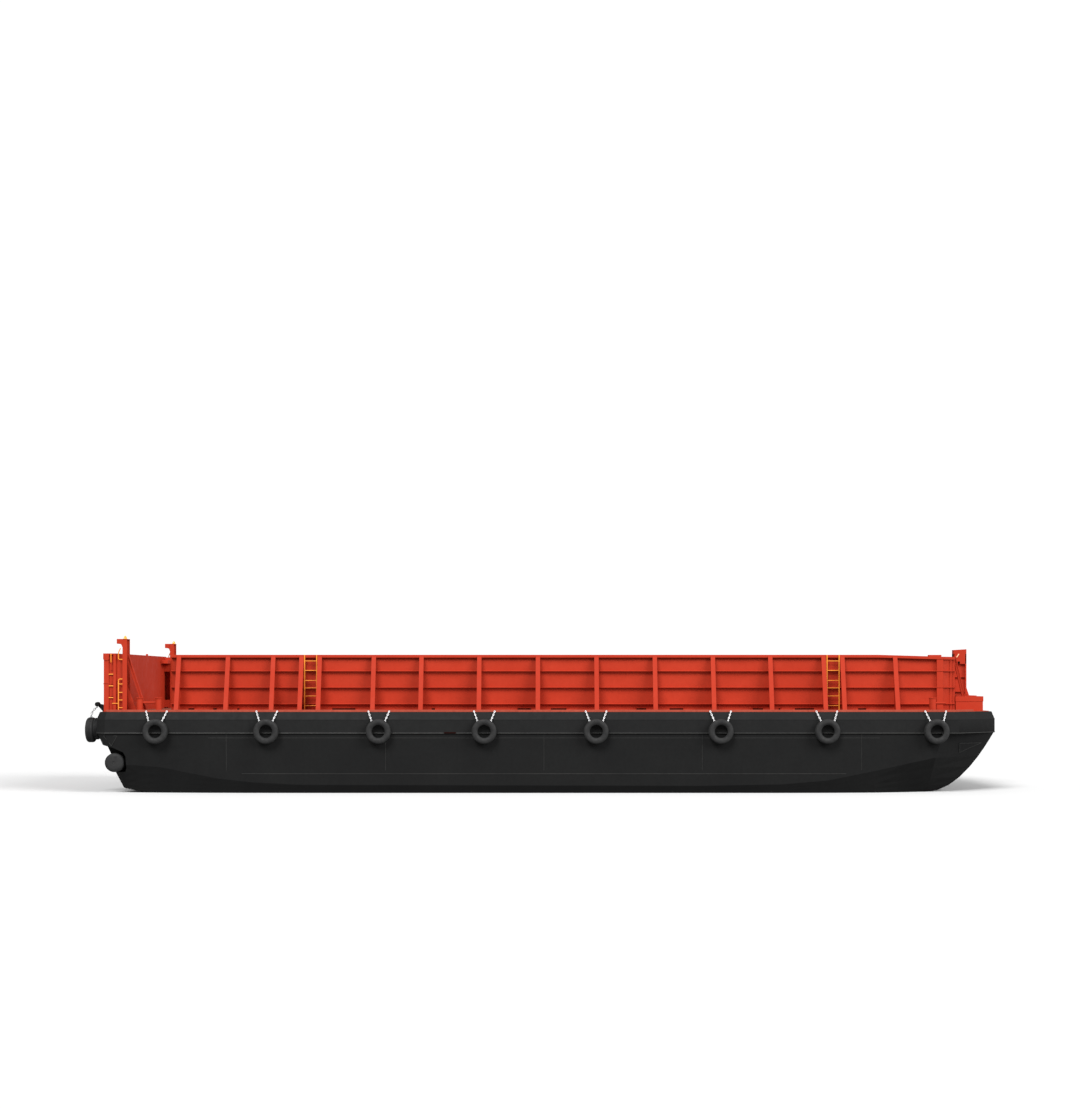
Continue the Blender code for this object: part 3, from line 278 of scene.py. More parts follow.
class Shape:
    """Closed forms gathered in one mesh, each with its edges rounded."""

    def __init__(self):
        self.mesh = bmesh.new()

    def _round(self, edges, rounding, segments=2):
        if rounding:
            bmesh.ops.bevel(self.mesh, geom=edges, offset=rounding, offset_type="OFFSET", segments=segments,
                            profile=0.5, affect="EDGES", clamp_overlap=True)

    def prism(self, outline, sweep, rounding=0.006, segments=2):
        sweep = Vector(sweep)
        low = [self.mesh.verts.new(Vector(point)) for point in outline]
        high = [self.mesh.verts.new(Vector(point) + sweep) for point in outline]
        faces = [self.mesh.faces.new(low), self.mesh.faces.new(high)]
        for i, corner in enumerate(low):
            after = (i + 1) % len(low)
            faces.append(self.mesh.faces.new((corner, low[after], high[after], high[i])))
        bmesh.ops.recalc_face_normals(self.mesh, faces=faces)
        self._round(list({edge for face in faces for edge in face.edges}), rounding, segments)

    def plan(self, outline, low_z, high_z, rounding=0.006):
        self.prism([(x, y, low_z) for x, y in outline], (0, 0, high_z - low_z), rounding)

    def side(self, outline, low_y, high_y, rounding=0.006):
        self.prism([(x, low_y, z) for x, z in outline], (0, high_y - low_y, 0), rounding)

    def section(self, outline, low_x, high_x, rounding=0.006):
        self.prism([(low_x, y, z) for y, z in outline], (high_x - low_x, 0, 0), rounding)

    def block(self, xs, ys, zs, rounding=0.006):
        x0, x1 = sorted(xs)
        y0, y1 = sorted(ys)
        z0, z1 = sorted(zs)
        self.plan(((x0, y0), (x1, y0), (x1, y1), (x0, y1)), z0, z1, rounding)

    def tube(self, path, radius, sides=12, closed=False):
        """A round bar along a path, with its frame carried from point to point."""
        path = [Vector(point) for point in path]
        count = len(path)
        rings = []
        across = None
        for i, point in enumerate(path):
            before = path[i - 1] if i or closed else point
            after = path[(i + 1) % count] if i < count - 1 or closed else point
            along = (after - before).normalized()
            if across is None:
                across = along.orthogonal().normalized()
            across = (across - along * across.dot(along)).normalized()
            up = along.cross(across)
            ring = []
            for k in range(sides):
                turn = 2 * math.pi * k / sides
                ring.append(self.mesh.verts.new(point + radius * (math.cos(turn) * across + math.sin(turn) * up)))
            rings.append(ring)
        faces = []
        for i in range(count if closed else count - 1):
            low, high = rings[i], rings[(i + 1) % count]
            for k in range(sides):
                after = (k + 1) % sides
                faces.append(self.mesh.faces.new((low[k], low[after], high[after], high[k])))
        if not closed:
            faces += [self.mesh.faces.new(rings[0]), self.mesh.faces.new(rings[-1])]
        bmesh.ops.recalc_face_normals(self.mesh, faces=faces)

    def rod(self, start, end, radius, sides=12):
        self.tube((start, end), radius, sides)

    def turned(self, centre, axis, profile, sides=48, closed=False):
        """A turned form: profile points are (radius, distance along the axis)."""
        centre, axis = Vector(centre), Vector(axis).normalized()
        across = axis.orthogonal().normalized()
        up = axis.cross(across)
        rings = []
        for r, a in profile:
            if r < 1e-6:
                rings.append([self.mesh.verts.new(centre + axis * a)])
                continue
            ring = []
            for i in range(sides):
                turn = 2 * math.pi * i / sides
                out = math.cos(turn) * across + math.sin(turn) * up
                ring.append(self.mesh.verts.new(centre + out * r + axis * a))
            rings.append(ring)
        faces = []
        pairs = list(zip(rings, rings[1:]))
        if closed:
            pairs.append((rings[-1], rings[0]))
        for low, high in pairs:
            for i in range(sides):
                after = (i + 1) % sides
                if len(low) == 1:
                    faces.append(self.mesh.faces.new((low[0], high[after], high[i])))
                elif len(high) == 1:
                    faces.append(self.mesh.faces.new((low[i], low[after], high[0])))
                else:
                    faces.append(self.mesh.faces.new((low[i], low[after], high[after], high[i])))
        bmesh.ops.recalc_face_normals(self.mesh, faces=faces)

    def fillet(self, start, end, a, b, size=0.012):
        """A weld bead between two faces whose outward directions are a and b."""
        start, a, b = Vector(start), Vector(a).normalized() * size, Vector(b).normalized() * size
        outline = (start - 0.2 * a - 0.2 * b, start + a - 0.2 * b, start + 0.62 * a + 0.32 * b,
                   start + 0.32 * a + 0.62 * b, start + b - 0.2 * a)
        self.prism(outline, Vector(end) - start, 0)

    def finish(self, name, material, slot, body="root", nodes=(), angle=40):
        mesh = bpy.data.meshes.new(name)
        self.mesh.to_mesh(mesh)
        self.mesh.free()
        mesh.materials.append(material)
        mesh.shade_smooth()
        mesh.set_sharp_from_angle(angle=math.radians(angle))
        obj = bpy.data.objects.new(name, mesh)
        bpy.context.scene.collection.objects.link(obj)
        weighted = obj.modifiers.new("even_shading", "WEIGHTED_NORMAL")
        weighted.keep_sharp = True
        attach(obj, body)
        if nodes:
            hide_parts(*nodes)
        return obj


def arc(centre, radius, start, end, steps, u, v):
    """Points on an arc in the plane of u and v, angles in degrees."""
    centre, u, v = Vector(centre), Vector(u), Vector(v)
    points = []
    for i in range(steps + 1):
        turn = math.radians(start + (end - start) * i / steps)
        points.append(centre + radius * (math.cos(turn) * u + math.sin(turn) * v))
    return points


def paint_node(name, material, rounding=0.006):
    """A node whose solid is shown as it is: its paint, and a small rounding on its edges."""
    obj = NODES[name]
    for index in range(len(obj.material_slots)):
        obj.material_slots[index].material = material
    if rounding:
        join = obj.modifiers.new("join", "WELD")
        join.merge_threshold = 0.0002
        edge = obj.modifiers.new("edge", "BEVEL")
        edge.width = rounding
        edge.segments = 2
        edge.limit_method = "ANGLE"
        edge.angle_limit = math.radians(30)
        edge.use_clamp_overlap = False
        edge.harden_normals = False


# The bin's side walls


def rail_top(x):
    share = max(0.0, x - RAIL_DROP_X) / (BIN_FORE_X - RAIL_DROP_X)
    return RAIL_TOP_Z + (RAIL_BOW_TOP_Z - RAIL_TOP_Z) * share


# Scuppers through the wall's foot: (from x, to x)
SCUPPERS = (
    (-15.03, -14.78), (-13.98, -13.83), (-12.97, -12.87), (-8.95, -7.97), (-4.75, -4.61),
    (-1.12, -0.54), (0.29, 0.95), (3.91, 4.32), (5.31, 5.89), (8.83, 9.26), (9.92, 9.99), (10.61, 11.41),
    (13.28, 13.62),
)
SCUPPER_Z = (0.035, 0.115)


def sheet_wave(x, z):
    """How far the plate stands out between its stiffeners, from the pull of their welds."""
    bays = [BIN_AFT_X, *BUTTRESS_X, CORNER_POST_X[0], BIN_FORE_X]
    share_x = 0.0
    for low, high in zip(bays, bays[1:]):
        if low <= x <= high:
            share_x = math.sin(math.pi * (x - low) / (high - low))
            wide = min(1.0, (high - low) / 2.0)
            break
    rows = [0.0, *STRINGERS, RAIL_TOP_Z - RAIL_DEPTH - DECK_Z]
    share_z = 0.0
    for index, (low, high) in enumerate(zip(rows, rows[1:])):
        if low <= z - DECK_Z <= high:
            share_z = math.sin(math.pi * (z - DECK_Z - low) / (high - low))
            tall = min(1.0, (high - low) / 0.6)
            sway = math.sin(12.9 * index + 2.3 * math.floor(x / 2.4))
            break
    if not share_x or not share_z:
        return 0.0
    return -share_x * share_z * wide * tall * (0.011 + 0.006 * sway)


def wall_sheet(side, name):
    """The wall's plate, waved between its stiffeners, with scuppers along the foot."""
    xs = {round(BIN_AFT_X, 4), round(BIN_FORE_X, 4)}
    bays = [BIN_AFT_X, *BUTTRESS_X, CORNER_POST_X[0], BIN_FORE_X]
    for low, high in zip(bays, bays[1:]):
        steps = max(2, round((high - low) / 0.3))
        xs |= {round(low + (high - low) * i / steps, 4) for i in range(steps + 1)}
    for low, high in SCUPPERS:
        xs = {x for x in xs if not low - 0.05 < x < high + 0.05}
        xs |= {low, high}
    xs = sorted(xs)
    top = RAIL_BOW_TOP_Z - RAIL_DEPTH + 0.02
    foot = DECK_Z + GAP
    zs = [foot, DECK_Z + SCUPPER_Z[0], DECK_Z + SCUPPER_Z[1], DECK_Z + 0.21, DECK_Z + 0.30]
    for low, high in ((0.30, 1.00), (1.00, 1.69)):
        zs += [DECK_Z + low + (high - low) * i / 5 for i in range(1, 6)]
    zs += [DECK_Z + 1.69 + (top - DECK_Z - 1.69) * i / 4 for i in range(1, 5)]
    mesh = bmesh.new()
    grid = []
    for x in xs:
        column = []
        for z in zs:
            rise = rail_top(x) - RAIL_BOW_TOP_Z if z == zs[-1] else 0.0
            column.append(mesh.verts.new((x, side * (BIN_Y + sheet_wave(x, z)), z + rise)))
        grid.append(column)
    for i, (aft, fore) in enumerate(zip(grid, grid[1:])):
        middle = (xs[i] + xs[i + 1]) / 2
        hole = any(low < middle < high for low, high in SCUPPERS)
        for j in range(len(zs) - 1):
            if hole and j == 1:
                continue
            corners = (aft[j], fore[j], fore[j + 1], aft[j + 1])
            mesh.faces.new(corners if side < 0 else tuple(reversed(corners)))
    data = bpy.data.meshes.new(name)
    mesh.to_mesh(data)
    mesh.free()
    data.materials.append(ORANGE)
    data.shade_smooth()
    obj = bpy.data.objects.new(name, data)
    bpy.context.scene.collection.objects.link(obj)
    thick = obj.modifiers.new("plate", "SOLIDIFY")
    thick.thickness = BIN_PLATE
    thick.offset = -1.0
    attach(obj, "root")
    return obj


def wall_frames(side, name):
    """The wall's rail, stringers and buttresses, with weld beads where they meet the plate."""
    shape = Shape()
    foot_z = DECK_Z + GAP
    rail = (
        (BIN_AFT_X, RAIL_TOP_Z - RAIL_DEPTH), (RAIL_DROP_X, RAIL_TOP_Z - RAIL_DEPTH),
        (BIN_FORE_X, RAIL_BOW_TOP_Z - RAIL_DEPTH), (BIN_FORE_X, RAIL_BOW_TOP_Z),
        (RAIL_DROP_X, RAIL_TOP_Z), (BIN_AFT_X, RAIL_TOP_Z),
    )
    shape.side(rail, side * (BIN_Y - BIN_PLATE - 0.02), side * (BIN_Y + RAIL_OUT), 0.014)
    out = (0, side, 0)
    for height in STRINGERS:
        z = DECK_Z + height
        half = STRINGER_THICK / 2
        shape.block((BIN_AFT_X, BIN_FORE_X), (side * (BIN_Y - 0.03), side * (BIN_Y + STRINGER_OUT)),
                    (z - half, z + half), 0.009)
        for edge, up in ((z + half, 1), (z - half, -1)):
            shape.fillet((BIN_AFT_X, side * BIN_Y, edge), (BIN_FORE_X, side * BIN_Y, edge), out, (0, 0, up))
    for x in BUTTRESS_X:
        head_z = rail_top(x) - RAIL_DEPTH / 2
        foot_y, head_y = BIN_Y + BUTTRESS_FOOT, BIN_Y + BUTTRESS_HEAD
        hole = 0.055
        web = [(BIN_Y - 0.01, foot_z + hole)]
        for i in range(5):
            turn = math.radians(90 * i / 4)
            web.append((BIN_Y + hole * math.sin(turn), foot_z + hole * math.cos(turn)))
        web += [(foot_y - 0.015, foot_z), (head_y - 0.015, head_z), (BIN_Y - 0.01, head_z)]
        half = BUTTRESS_THICK / 2
        shape.section([(side * y, z) for y, z in web], x - half, x + half, 0.002)
        flange = (
            (foot_y - BUTTRESS_THICK, foot_z), (foot_y, foot_z), (head_y, head_z),
            (head_y - BUTTRESS_THICK, head_z),
        )
        shape.section([(side * y, z) for y, z in flange], x - BUTTRESS_FLANGE / 2, x + BUTTRESS_FLANGE / 2, 0.010)
        for end in (-1, 1):
            edge_x = x + end * half
            shape.fillet((edge_x, side * BIN_Y, foot_z + hole), (edge_x, side * BIN_Y, head_z - 0.07), out,
                         (end, 0, 0))
            shape.fillet((edge_x, side * (BIN_Y + hole), foot_z), (edge_x, side * (foot_y - 0.03), foot_z),
                         (end, 0, 0), (0, 0, 1))
    shape.block(CORNER_POST_X, (side * (BIN_Y - 0.01), side * (BIN_Y + CORNER_POST_OUT)),
                (foot_z, rail_top(CORNER_POST_X[1]) - RAIL_DEPTH / 2), 0.012)
    cap_low = rail_top(CAP_BLOCK_X[0]) - RAIL_DEPTH / 2
    shape.block(CAP_BLOCK_X, (side * (BIN_Y - BIN_PLATE - 0.01), side * (BIN_Y + RAIL_OUT - 0.01)),
                (cap_low, rail_top(CAP_BLOCK_X[1]) + CAP_BLOCK_HIGH), 0.02)
    shape.fillet((BIN_AFT_X, side * BIN_Y, foot_z), (BIN_FORE_X, side * BIN_Y, foot_z), out, (0, 0, 1), 0.014)
    return shape.finish(name, ORANGE, "orange_paint")


def scupper_shade_blocks(side, label):
    """Dark blocks in the scuppers, within the plate's thickness: painted shade standing for the shadow inside the
    openings.
    """
    shape = Shape()
    for low, high in SCUPPERS:
        shape.block((low + 0.001, high - 0.001), (side * (BIN_Y - BIN_PLATE + 0.004), side * (BIN_Y - 0.012)),
                    (DECK_Z + SCUPPER_Z[0] + 0.001, DECK_Z + SCUPPER_Z[1] - 0.001), 0.004)
    shape.finish("scupper_painted_shade_" + label, SLOT_PAINTED_SHADE, "orange_paint")


def corner_strip(inner, outer):
    start_x = BIN_FORE_X + GAP
    end_x, end_y = BIN_FORE_X + BIN_CORNER, BIN_Y - BIN_CORNER + GAP
    return ((start_x, BIN_Y + inner), (start_x, BIN_Y + outer), (end_x + outer, end_y), (end_x + inner, end_y))


def bin_corner(side, label):
    shape = Shape()
    foot_z = DECK_Z + GAP
    levels = [(-BIN_PLATE, 0.0, foot_z, RAIL_BOW_TOP_Z - 0.02, 0.0)]
    levels.append((-BIN_PLATE - 0.02, RAIL_OUT, RAIL_BOW_TOP_Z - RAIL_DEPTH, RAIL_BOW_TOP_Z, 0.012))
    for height in STRINGERS:
        z = DECK_Z + height
        levels.append((-0.01, STRINGER_OUT, z - STRINGER_THICK / 2, z + STRINGER_THICK / 2, 0.007))
    for inner, outer, low_z, high_z, rounding in levels:
        shape.plan([(x, side * y) for x, y in corner_strip(inner, outer)], low_z, high_z, rounding)
    post_x, post_y = BIN_FORE_X + BIN_CORNER * 0.8, BIN_Y - BIN_CORNER * 0.8
    shape.block((post_x - 0.04, post_x + 0.06), (side * (post_y - 0.04), side * (post_y + 0.06)),
                (foot_z, RAIL_BOW_TOP_Z - RAIL_DEPTH / 2), 0.008)
    return shape.finish("bin_corner_form_" + label, ORANGE, "orange_paint", nodes=("bin_corner_" + label,))


def bin_bow_wall():
    shape = Shape()
    foot_z = DECK_Z + GAP
    x, y = BIN_FORE_X + BIN_CORNER, BIN_Y - BIN_CORNER
    shape.block((x - BIN_PLATE, x), (-y, y), (foot_z, RAIL_BOW_TOP_Z - 0.02), 0.0)
    shape.block((x - BIN_PLATE - 0.02, x + RAIL_OUT), (-y, y), (RAIL_BOW_TOP_Z - RAIL_DEPTH, RAIL_BOW_TOP_Z), 0.012)
    for height in STRINGERS:
        z = DECK_Z + height
        shape.block((x - 0.01, x + STRINGER_OUT), (-y, y), (z - STRINGER_THICK / 2, z + STRINGER_THICK / 2), 0.008)
        shape.fillet((x, -y, z + STRINGER_THICK / 2), (x, y, z + STRINGER_THICK / 2), (1, 0, 0), (0, 0, 1))
    posts = 7
    for i in range(posts):
        post_y = (y - 0.06) * (2 * i / (posts - 1) - 1)
        shape.block((x - 0.01, x + STRINGER_OUT - 0.01), (post_y - 0.045, post_y + 0.045),
                    (foot_z, RAIL_BOW_TOP_Z - RAIL_DEPTH / 2), 0.008)
    return shape.finish("bin_bow_wall_form", ORANGE, "orange_paint", nodes=("bin_wall_bow",))


# The stern wall, hook posts and what they carry

STERN_AFT_X = -18.45
STERN_FORE_X = -17.92
STERN_WALL_Y = 5.10
STERN_TOP_Z = 5.835


def stern_wall():
    shape = Shape()
    foot_z = DECK_Z + GAP
    panel_x = STERN_FORE_X - 0.11
    beam_x = STERN_AFT_X + 0.25
    shape.block((panel_x, STERN_FORE_X), (-STERN_WALL_Y, STERN_WALL_Y), (foot_z, STERN_TOP_Z), 0.012)
    beam_low, bevel = STERN_TOP_Z - 0.30, 0.06
    beam = (
        (STERN_AFT_X, STERN_TOP_Z), (STERN_AFT_X, beam_low + bevel), (STERN_AFT_X + bevel, beam_low),
        (beam_x - bevel, beam_low), (beam_x, beam_low + bevel), (beam_x, STERN_TOP_Z),
    )
    shape.side(beam, -STERN_WALL_Y - 0.02, STERN_WALL_Y + 0.02, 0.012)
    shape.block((beam_x - 0.02, panel_x + 0.02), (-STERN_WALL_Y, STERN_WALL_Y),
                (STERN_TOP_Z - 0.05, STERN_TOP_Z), 0.004)
    for i in range(7):
        y = (STERN_WALL_Y - 0.10) * (2 * i / 6 - 1)
        shape.block((STERN_AFT_X + 0.02, beam_x - 0.02), (y - 0.09, y + 0.09), (foot_z, beam_low + bevel), 0.012)
        shape.block((beam_x - 0.04, panel_x + 0.02), (y - 0.02, y + 0.02), (foot_z, STERN_TOP_Z - 0.02), 0.003)
    for height in (0.62, 1.13, 1.69):
        z = DECK_Z + height
        shape.block((panel_x - 0.13, panel_x + 0.01), (-STERN_WALL_Y + 0.08, STERN_WALL_Y - 0.08),
                    (z - 0.015, z + 0.015), 0.006)
    shape.block((-18.02, -17.94), (1.10, 1.20), (STERN_TOP_Z - 0.02, STERN_TOP_Z + 0.07), 0.01)
    cheek_x = (STERN_FORE_X - 0.01, POST_X[0] - GAP)
    for side in (1, -1):
        shape.block(cheek_x, (side * 4.98, side * 5.01), (foot_z + 0.04, 5.80), 0.004)
        for zs in ((3.45, 3.80), (5.13, 5.80)):
            shape.block(cheek_x, (side * 4.56, side * 4.59), zs, 0.004)
        shape.block((STERN_FORE_X - 0.01, -17.58), (side * 3.80, side * 4.54), (5.50, 5.66), 0.012)
        end_y = side * (STERN_WALL_Y - 0.01)
        shape.block((STERN_AFT_X - 0.012, beam_x), (end_y, end_y - side * 0.20), (4.545, 4.575), 0.006)
        shape.turned((STERN_FORE_X, side * 4.09, 4.948), (1, 0, 0), ((0, 0), (0.035, 0), (0.03, 0.025), (0, 0.03)), 16)
    shape.fillet((STERN_FORE_X, -STERN_WALL_Y, foot_z), (STERN_FORE_X, STERN_WALL_Y, foot_z), (1, 0, 0), (0, 0, 1),
                 0.016)
    shape.finish("stern_wall_form", ORANGE, "orange_paint", nodes=("stern_wall",))

    for label, side in SIDES:
        steps = Shape()
        y = side * (STERN_WALL_Y - 0.035)
        for z in (3.98, 4.47, 4.96):
            steps.rod((beam_x - 0.03, y, z), (panel_x + 0.01, y, z), 0.021)
        x = (beam_x + panel_x) / 2
        y = side * (STERN_WALL_Y + 0.035)
        path = [(x, side * (STERN_WALL_Y - 0.02), 5.80)]
        path += arc((x, y - side * 0.03, 5.77), 0.03, 90, 0, 4, (0, side, 0), (0, 0, 1))
        path += arc((x, y - side * 0.03, 5.50), 0.03, 0, -90, 4, (0, side, 0), (0, 0, 1))
        path += [(x, side * (STERN_WALL_Y - 0.02), 5.47)]
        steps.tube(path, 0.02)
        steps.finish("stern_wall_steps_" + label, YELLOW, "safety_yellow")


POST_X = (-17.64, -17.45)
POST_Y = (4.55, 5.12)
POST_TOP_Z = 6.44


def hook_post(side, label):
    shape = Shape()
    foot_z = DECK_Z + GAP
    (x0, x1), (y0, y1) = POST_X, POST_Y
    middle_x = (x0 + x1) / 2
    thick = 0.035
    shape.block((x0, x1), (side * y0, side * (y0 + thick)), (foot_z, POST_TOP_Z), 0.010)
    shape.block((x0, x1), (side * (y1 - thick), side * y1), (foot_z, POST_TOP_Z), 0.010)
    shape.block((middle_x - thick / 2, middle_x + thick / 2), (side * (y0 + 0.01), side * (y1 - 0.01)),
                (foot_z, POST_TOP_Z), 0.004)
    horn = [(x0 - 0.24, POST_TOP_Z), (x0 - 0.24, POST_TOP_Z - 0.20)]
    for i in range(9):
        turn = math.radians(90 * i / 8)
        horn.append((x0 - 0.137 + 0.117 * math.sin(turn), POST_TOP_Z - 0.20 - 0.13 * (1 - math.cos(turn))))
    horn += [(x0 + 0.06, POST_TOP_Z - 0.33), (x0 + 0.06, POST_TOP_Z)]
    shape.side(horn, side * (y0 + 0.02), side * (y1 - 0.004), 0.010)
    shape.block((x0 - 0.01, x1 + 0.01), (side * y0, side * y1), (POST_TOP_Z - 0.03, POST_TOP_Z), 0.006)
    shape.block((x0 - 0.06, x1 + 0.06), (side * (y0 - 0.03), side * (y1 + 0.05)), (foot_z, foot_z + 0.03), 0.008)
    for end in (-1, 1):
        shape.fillet((middle_x + end * thick / 2, side * (y1 - thick), foot_z),
                     (middle_x + end * thick / 2, side * (y1 - thick), POST_TOP_Z - 0.04),
                     (end, 0, 0), (0, -side, 0))
        shape.fillet((middle_x + end * thick / 2, side * (y0 + thick), foot_z),
                     (middle_x + end * thick / 2, side * (y0 + thick), POST_TOP_Z - 0.04),
                     (end, 0, 0), (0, side, 0))
    middle_y = (y0 + y1) / 2
    gusset = ((x1 - 0.01, foot_z), (x1 + 0.36, foot_z), (x1 + 0.36, foot_z + 0.03), (x1 - 0.01, foot_z + 0.98))
    shape.side(gusset, side * (middle_y - 0.015), side * (middle_y + 0.015), 0.005)
    shape.finish("hook_post_form_" + label, ORANGE, "orange_paint", nodes=("hook_post_" + label,))

    lamp = Shape()
    low = POST_TOP_Z + GAP
    at = (-17.545, side * (POST_Y[1] - 0.12), low)
    lamp.turned(at, (0, 0, 1), ((0, 0), (0.080, 0), (0.080, 0.012), (0.074, 0.016), (0.072, 0.018)), 32)
    lens = [(0.070, 0.016)]
    for i in range(5):
        z = 0.020 + i * 0.011
        r = 0.072 - 0.0025 * i
        lens += [(r, z), (r, z + 0.006), (r - 0.003, z + 0.008)]
    lens += [(0.056, 0.080), (0.046, 0.098), (0.034, 0.112), (0.025, 0.120), (0.024, 0.134), (0.010, 0.135), (0, 0.135)]
    lamp.turned(at, (0, 0, 1), lens, 32)
    lamp.finish("lamp_form_" + label, AMBER, "lamp_amber", nodes=("lamp_" + label,), angle=60)


def stern_ladder(side, label):
    """The steps from a round stile to the hook post, and the grab handle over them."""
    shape = Shape()
    x, y = -17.81, side * (POST_Y[1] - 0.0175)
    post_x = POST_X[0] - GAP
    top = 4.76
    path = [(x, y, DECK_Z + GAP), (x, y, 4.0), (x, y, top - 0.07)]
    path += arc((x + 0.07, y, top - 0.07), 0.07, 180, 90, 6, (1, 0, 0), (0, 0, 1))[1:]
    path += [(post_x, y, top)]
    shape.tube(path, 0.02, 12)
    shape.turned((x, y, DECK_Z + GAP), (0, 0, 1), ((0, 0), (0.04, 0), (0.04, 0.01), (0.02, 0.016)), 16)
    for z in (3.56, 3.88, 4.20, 4.55):
        shape.rod((x, y, z), (post_x, y, z), 0.018, 12)
    stay_y = side * (STERN_WALL_Y + 0.018 + GAP)
    shape.rod((-18.07, stay_y, 3.74), (x, stay_y, 3.74), 0.018, 12)
    shape.finish("stern_ladder_form_" + label, YELLOW, "safety_yellow", nodes=("stern_ladder_" + label,))

    shape = Shape()
    path = [(post_x, y, 5.58), (x + 0.06, y, 5.58)]
    path += arc((x + 0.06, y, 5.64), 0.06, 270, 180, 5, (1, 0, 0), (0, 0, 1))[1:]
    path += [(x, y, 5.80), (x + 0.006, y, 5.87), (x + 0.036, y, 5.95), (-17.72, y, 6.05)]
    shape.tube(path, 0.02, 12)
    shape.finish("grab_handle_form_" + label, YELLOW, "safety_yellow", nodes=("grab_handle_" + label,))


def ladder(name, side, x):
    shape = Shape()
    back = BIN_Y + RAIL_OUT + GAP
    for end in (-1, 1):
        stile_x = x + end * LADDER_SPACING / 2
        shape.block((stile_x - 0.022, stile_x + 0.022), (side * back, side * (back + 0.045)),
                    (DECK_Z + GAP, RAIL_TOP_Z - 0.005), 0.007)
    for z in (3.637, 4.046, 4.384, 4.700, 5.122, 5.523):
        y = side * (back + 0.0225)
        shape.rod((x - 0.26, y, z), (x + 0.26, y, z), 0.018, 12)
    shape.finish(name + "_form", YELLOW, "safety_yellow", nodes=(name,))


# Mooring gear


def bollard_profile(radius, cap, high):
    return (
        (0, 0), (radius + 0.03, 0), (radius + 0.028, 0.008), (radius + 0.006, 0.026), (radius, 0.034),
        (radius, high - 0.062), (radius + 0.004, high - 0.048), (cap - 0.006, high - 0.036), (cap, high - 0.028),
        (cap, high - 0.010), (cap - 0.010, high), (0, high),
    )


def bollards(side, label):
    shape = Shape()
    foot = DECK_Z + GAP
    y = side * 5.10
    for x in (-16.915, -16.125):
        shape.turned((x, y, foot + 0.028), (0, 0, 1), bollard_profile(0.13, 0.16, 0.5417), 40)
    bar_z = DECK_Z + 0.37
    shape.rod((-16.915, y, bar_z), (-16.125, y, bar_z), 0.04, 20)
    shape.block((-17.135, -15.905), (y - 0.16, y + 0.16), (foot, foot + 0.03), 0.008)
    shape.finish("stern_bollards_form_" + label, ORANGE, "orange_paint", nodes=("stern_bollards_" + label,))

    shape = Shape()
    x = 16.275
    shape.turned((x, y, foot + 0.028), (0, 0, 1), bollard_profile(0.145, 0.165, 0.5417), 40)
    bar_z, bar_y = DECK_Z + 0.35, side * 5.17
    shape.rod((x, bar_y, bar_z), (16.80, bar_y, bar_z), 0.035, 20)
    shape.block((x - 0.21, x + 0.21), (y - 0.17, y + 0.17), (foot, foot + 0.03), 0.008)
    shape.finish("bow_bollard_form_" + label, ORANGE, "orange_paint", nodes=("bow_bollard_" + label,))


# Tyre fenders


def tyre_profile(radius, hole, width, grooves=True):
    """A closed section through a tyre's ring: tread with grooves, shoulders, sidewalls, beads and the hollow."""
    half = width / 2
    side_wall = (
        (0.0, 0.50), (0.03, 0.60), (0.12, 0.74), (0.24, 0.88), (0.38, 0.97), (0.52, 1.0), (0.70, 0.965),
        (0.82, 0.88), (0.90, 0.76), (0.952, 0.62), (0.984, 0.50),
    )
    outer = [(hole + (radius - hole) * share, -half * out) for share, out in side_wall]
    tread = []
    if grooves:
        for centre in (-0.30, 0.0, 0.30):
            a = centre * half
            tread += [(radius - 0.002, a - 0.012), (radius - 0.018, a - 0.008), (radius - 0.018, a + 0.008),
                      (radius - 0.002, a + 0.012)]
    mirrored = [(r, -a) for r, a in reversed(outer)]
    inner_r = radius - 0.045
    cavity = [
        (hole + 0.004, half * 0.40), (hole + 0.03, half * 0.52), (hole + 0.09, half * 0.78), (inner_r - 0.07, half * 0.76),
        (inner_r - 0.015, half * 0.52), (inner_r, half * 0.22), (inner_r, -half * 0.22), (inner_r - 0.015, -half * 0.52),
        (inner_r - 0.07, -half * 0.76), (hole + 0.09, -half * 0.78), (hole + 0.03, -half * 0.52),
        (hole + 0.004, -half * 0.40),
    ]
    return outer + tread + mirrored + cavity


def link(shape, centre, along, across, length, width, wire, sides=7):
    """One chain link: a stadium of round wire."""
    centre, along, across = Vector(centre), Vector(along).normalized(), Vector(across).normalized()
    radius = width / 2 - wire
    straight = length / 2 - width / 2
    path = arc(centre + along * straight, radius, -90, 90, 6, along, across)
    path += arc(centre - along * straight, radius, 90, 270, 6, along, across)
    shape.tube(path, wire, sides, closed=True)


def chain(shape, points, pitch, length, width, wire):
    """Links laid along a path, each a quarter turn from the last."""
    points = [Vector(point) for point in points]
    lengths = [(b - a).length for a, b in zip(points, points[1:])]
    total = sum(lengths)
    count = max(2, round(total / pitch))
    side_on = Vector((0, 1, 0))
    for i in range(count):
        distance = total * (i + 0.5) / count
        for (a, b), span in zip(zip(points, points[1:]), lengths):
            if distance <= span:
                break
            distance -= span
        along = (b - a).normalized()
        centre = a + along * min(distance, span)
        across = along.cross(side_on)
        if across.length < 0.1:
            across = along.orthogonal()
        across.normalize()
        if i % 2:
            across = along.cross(across)
        link(shape, centre, along, across, length, width, wire)


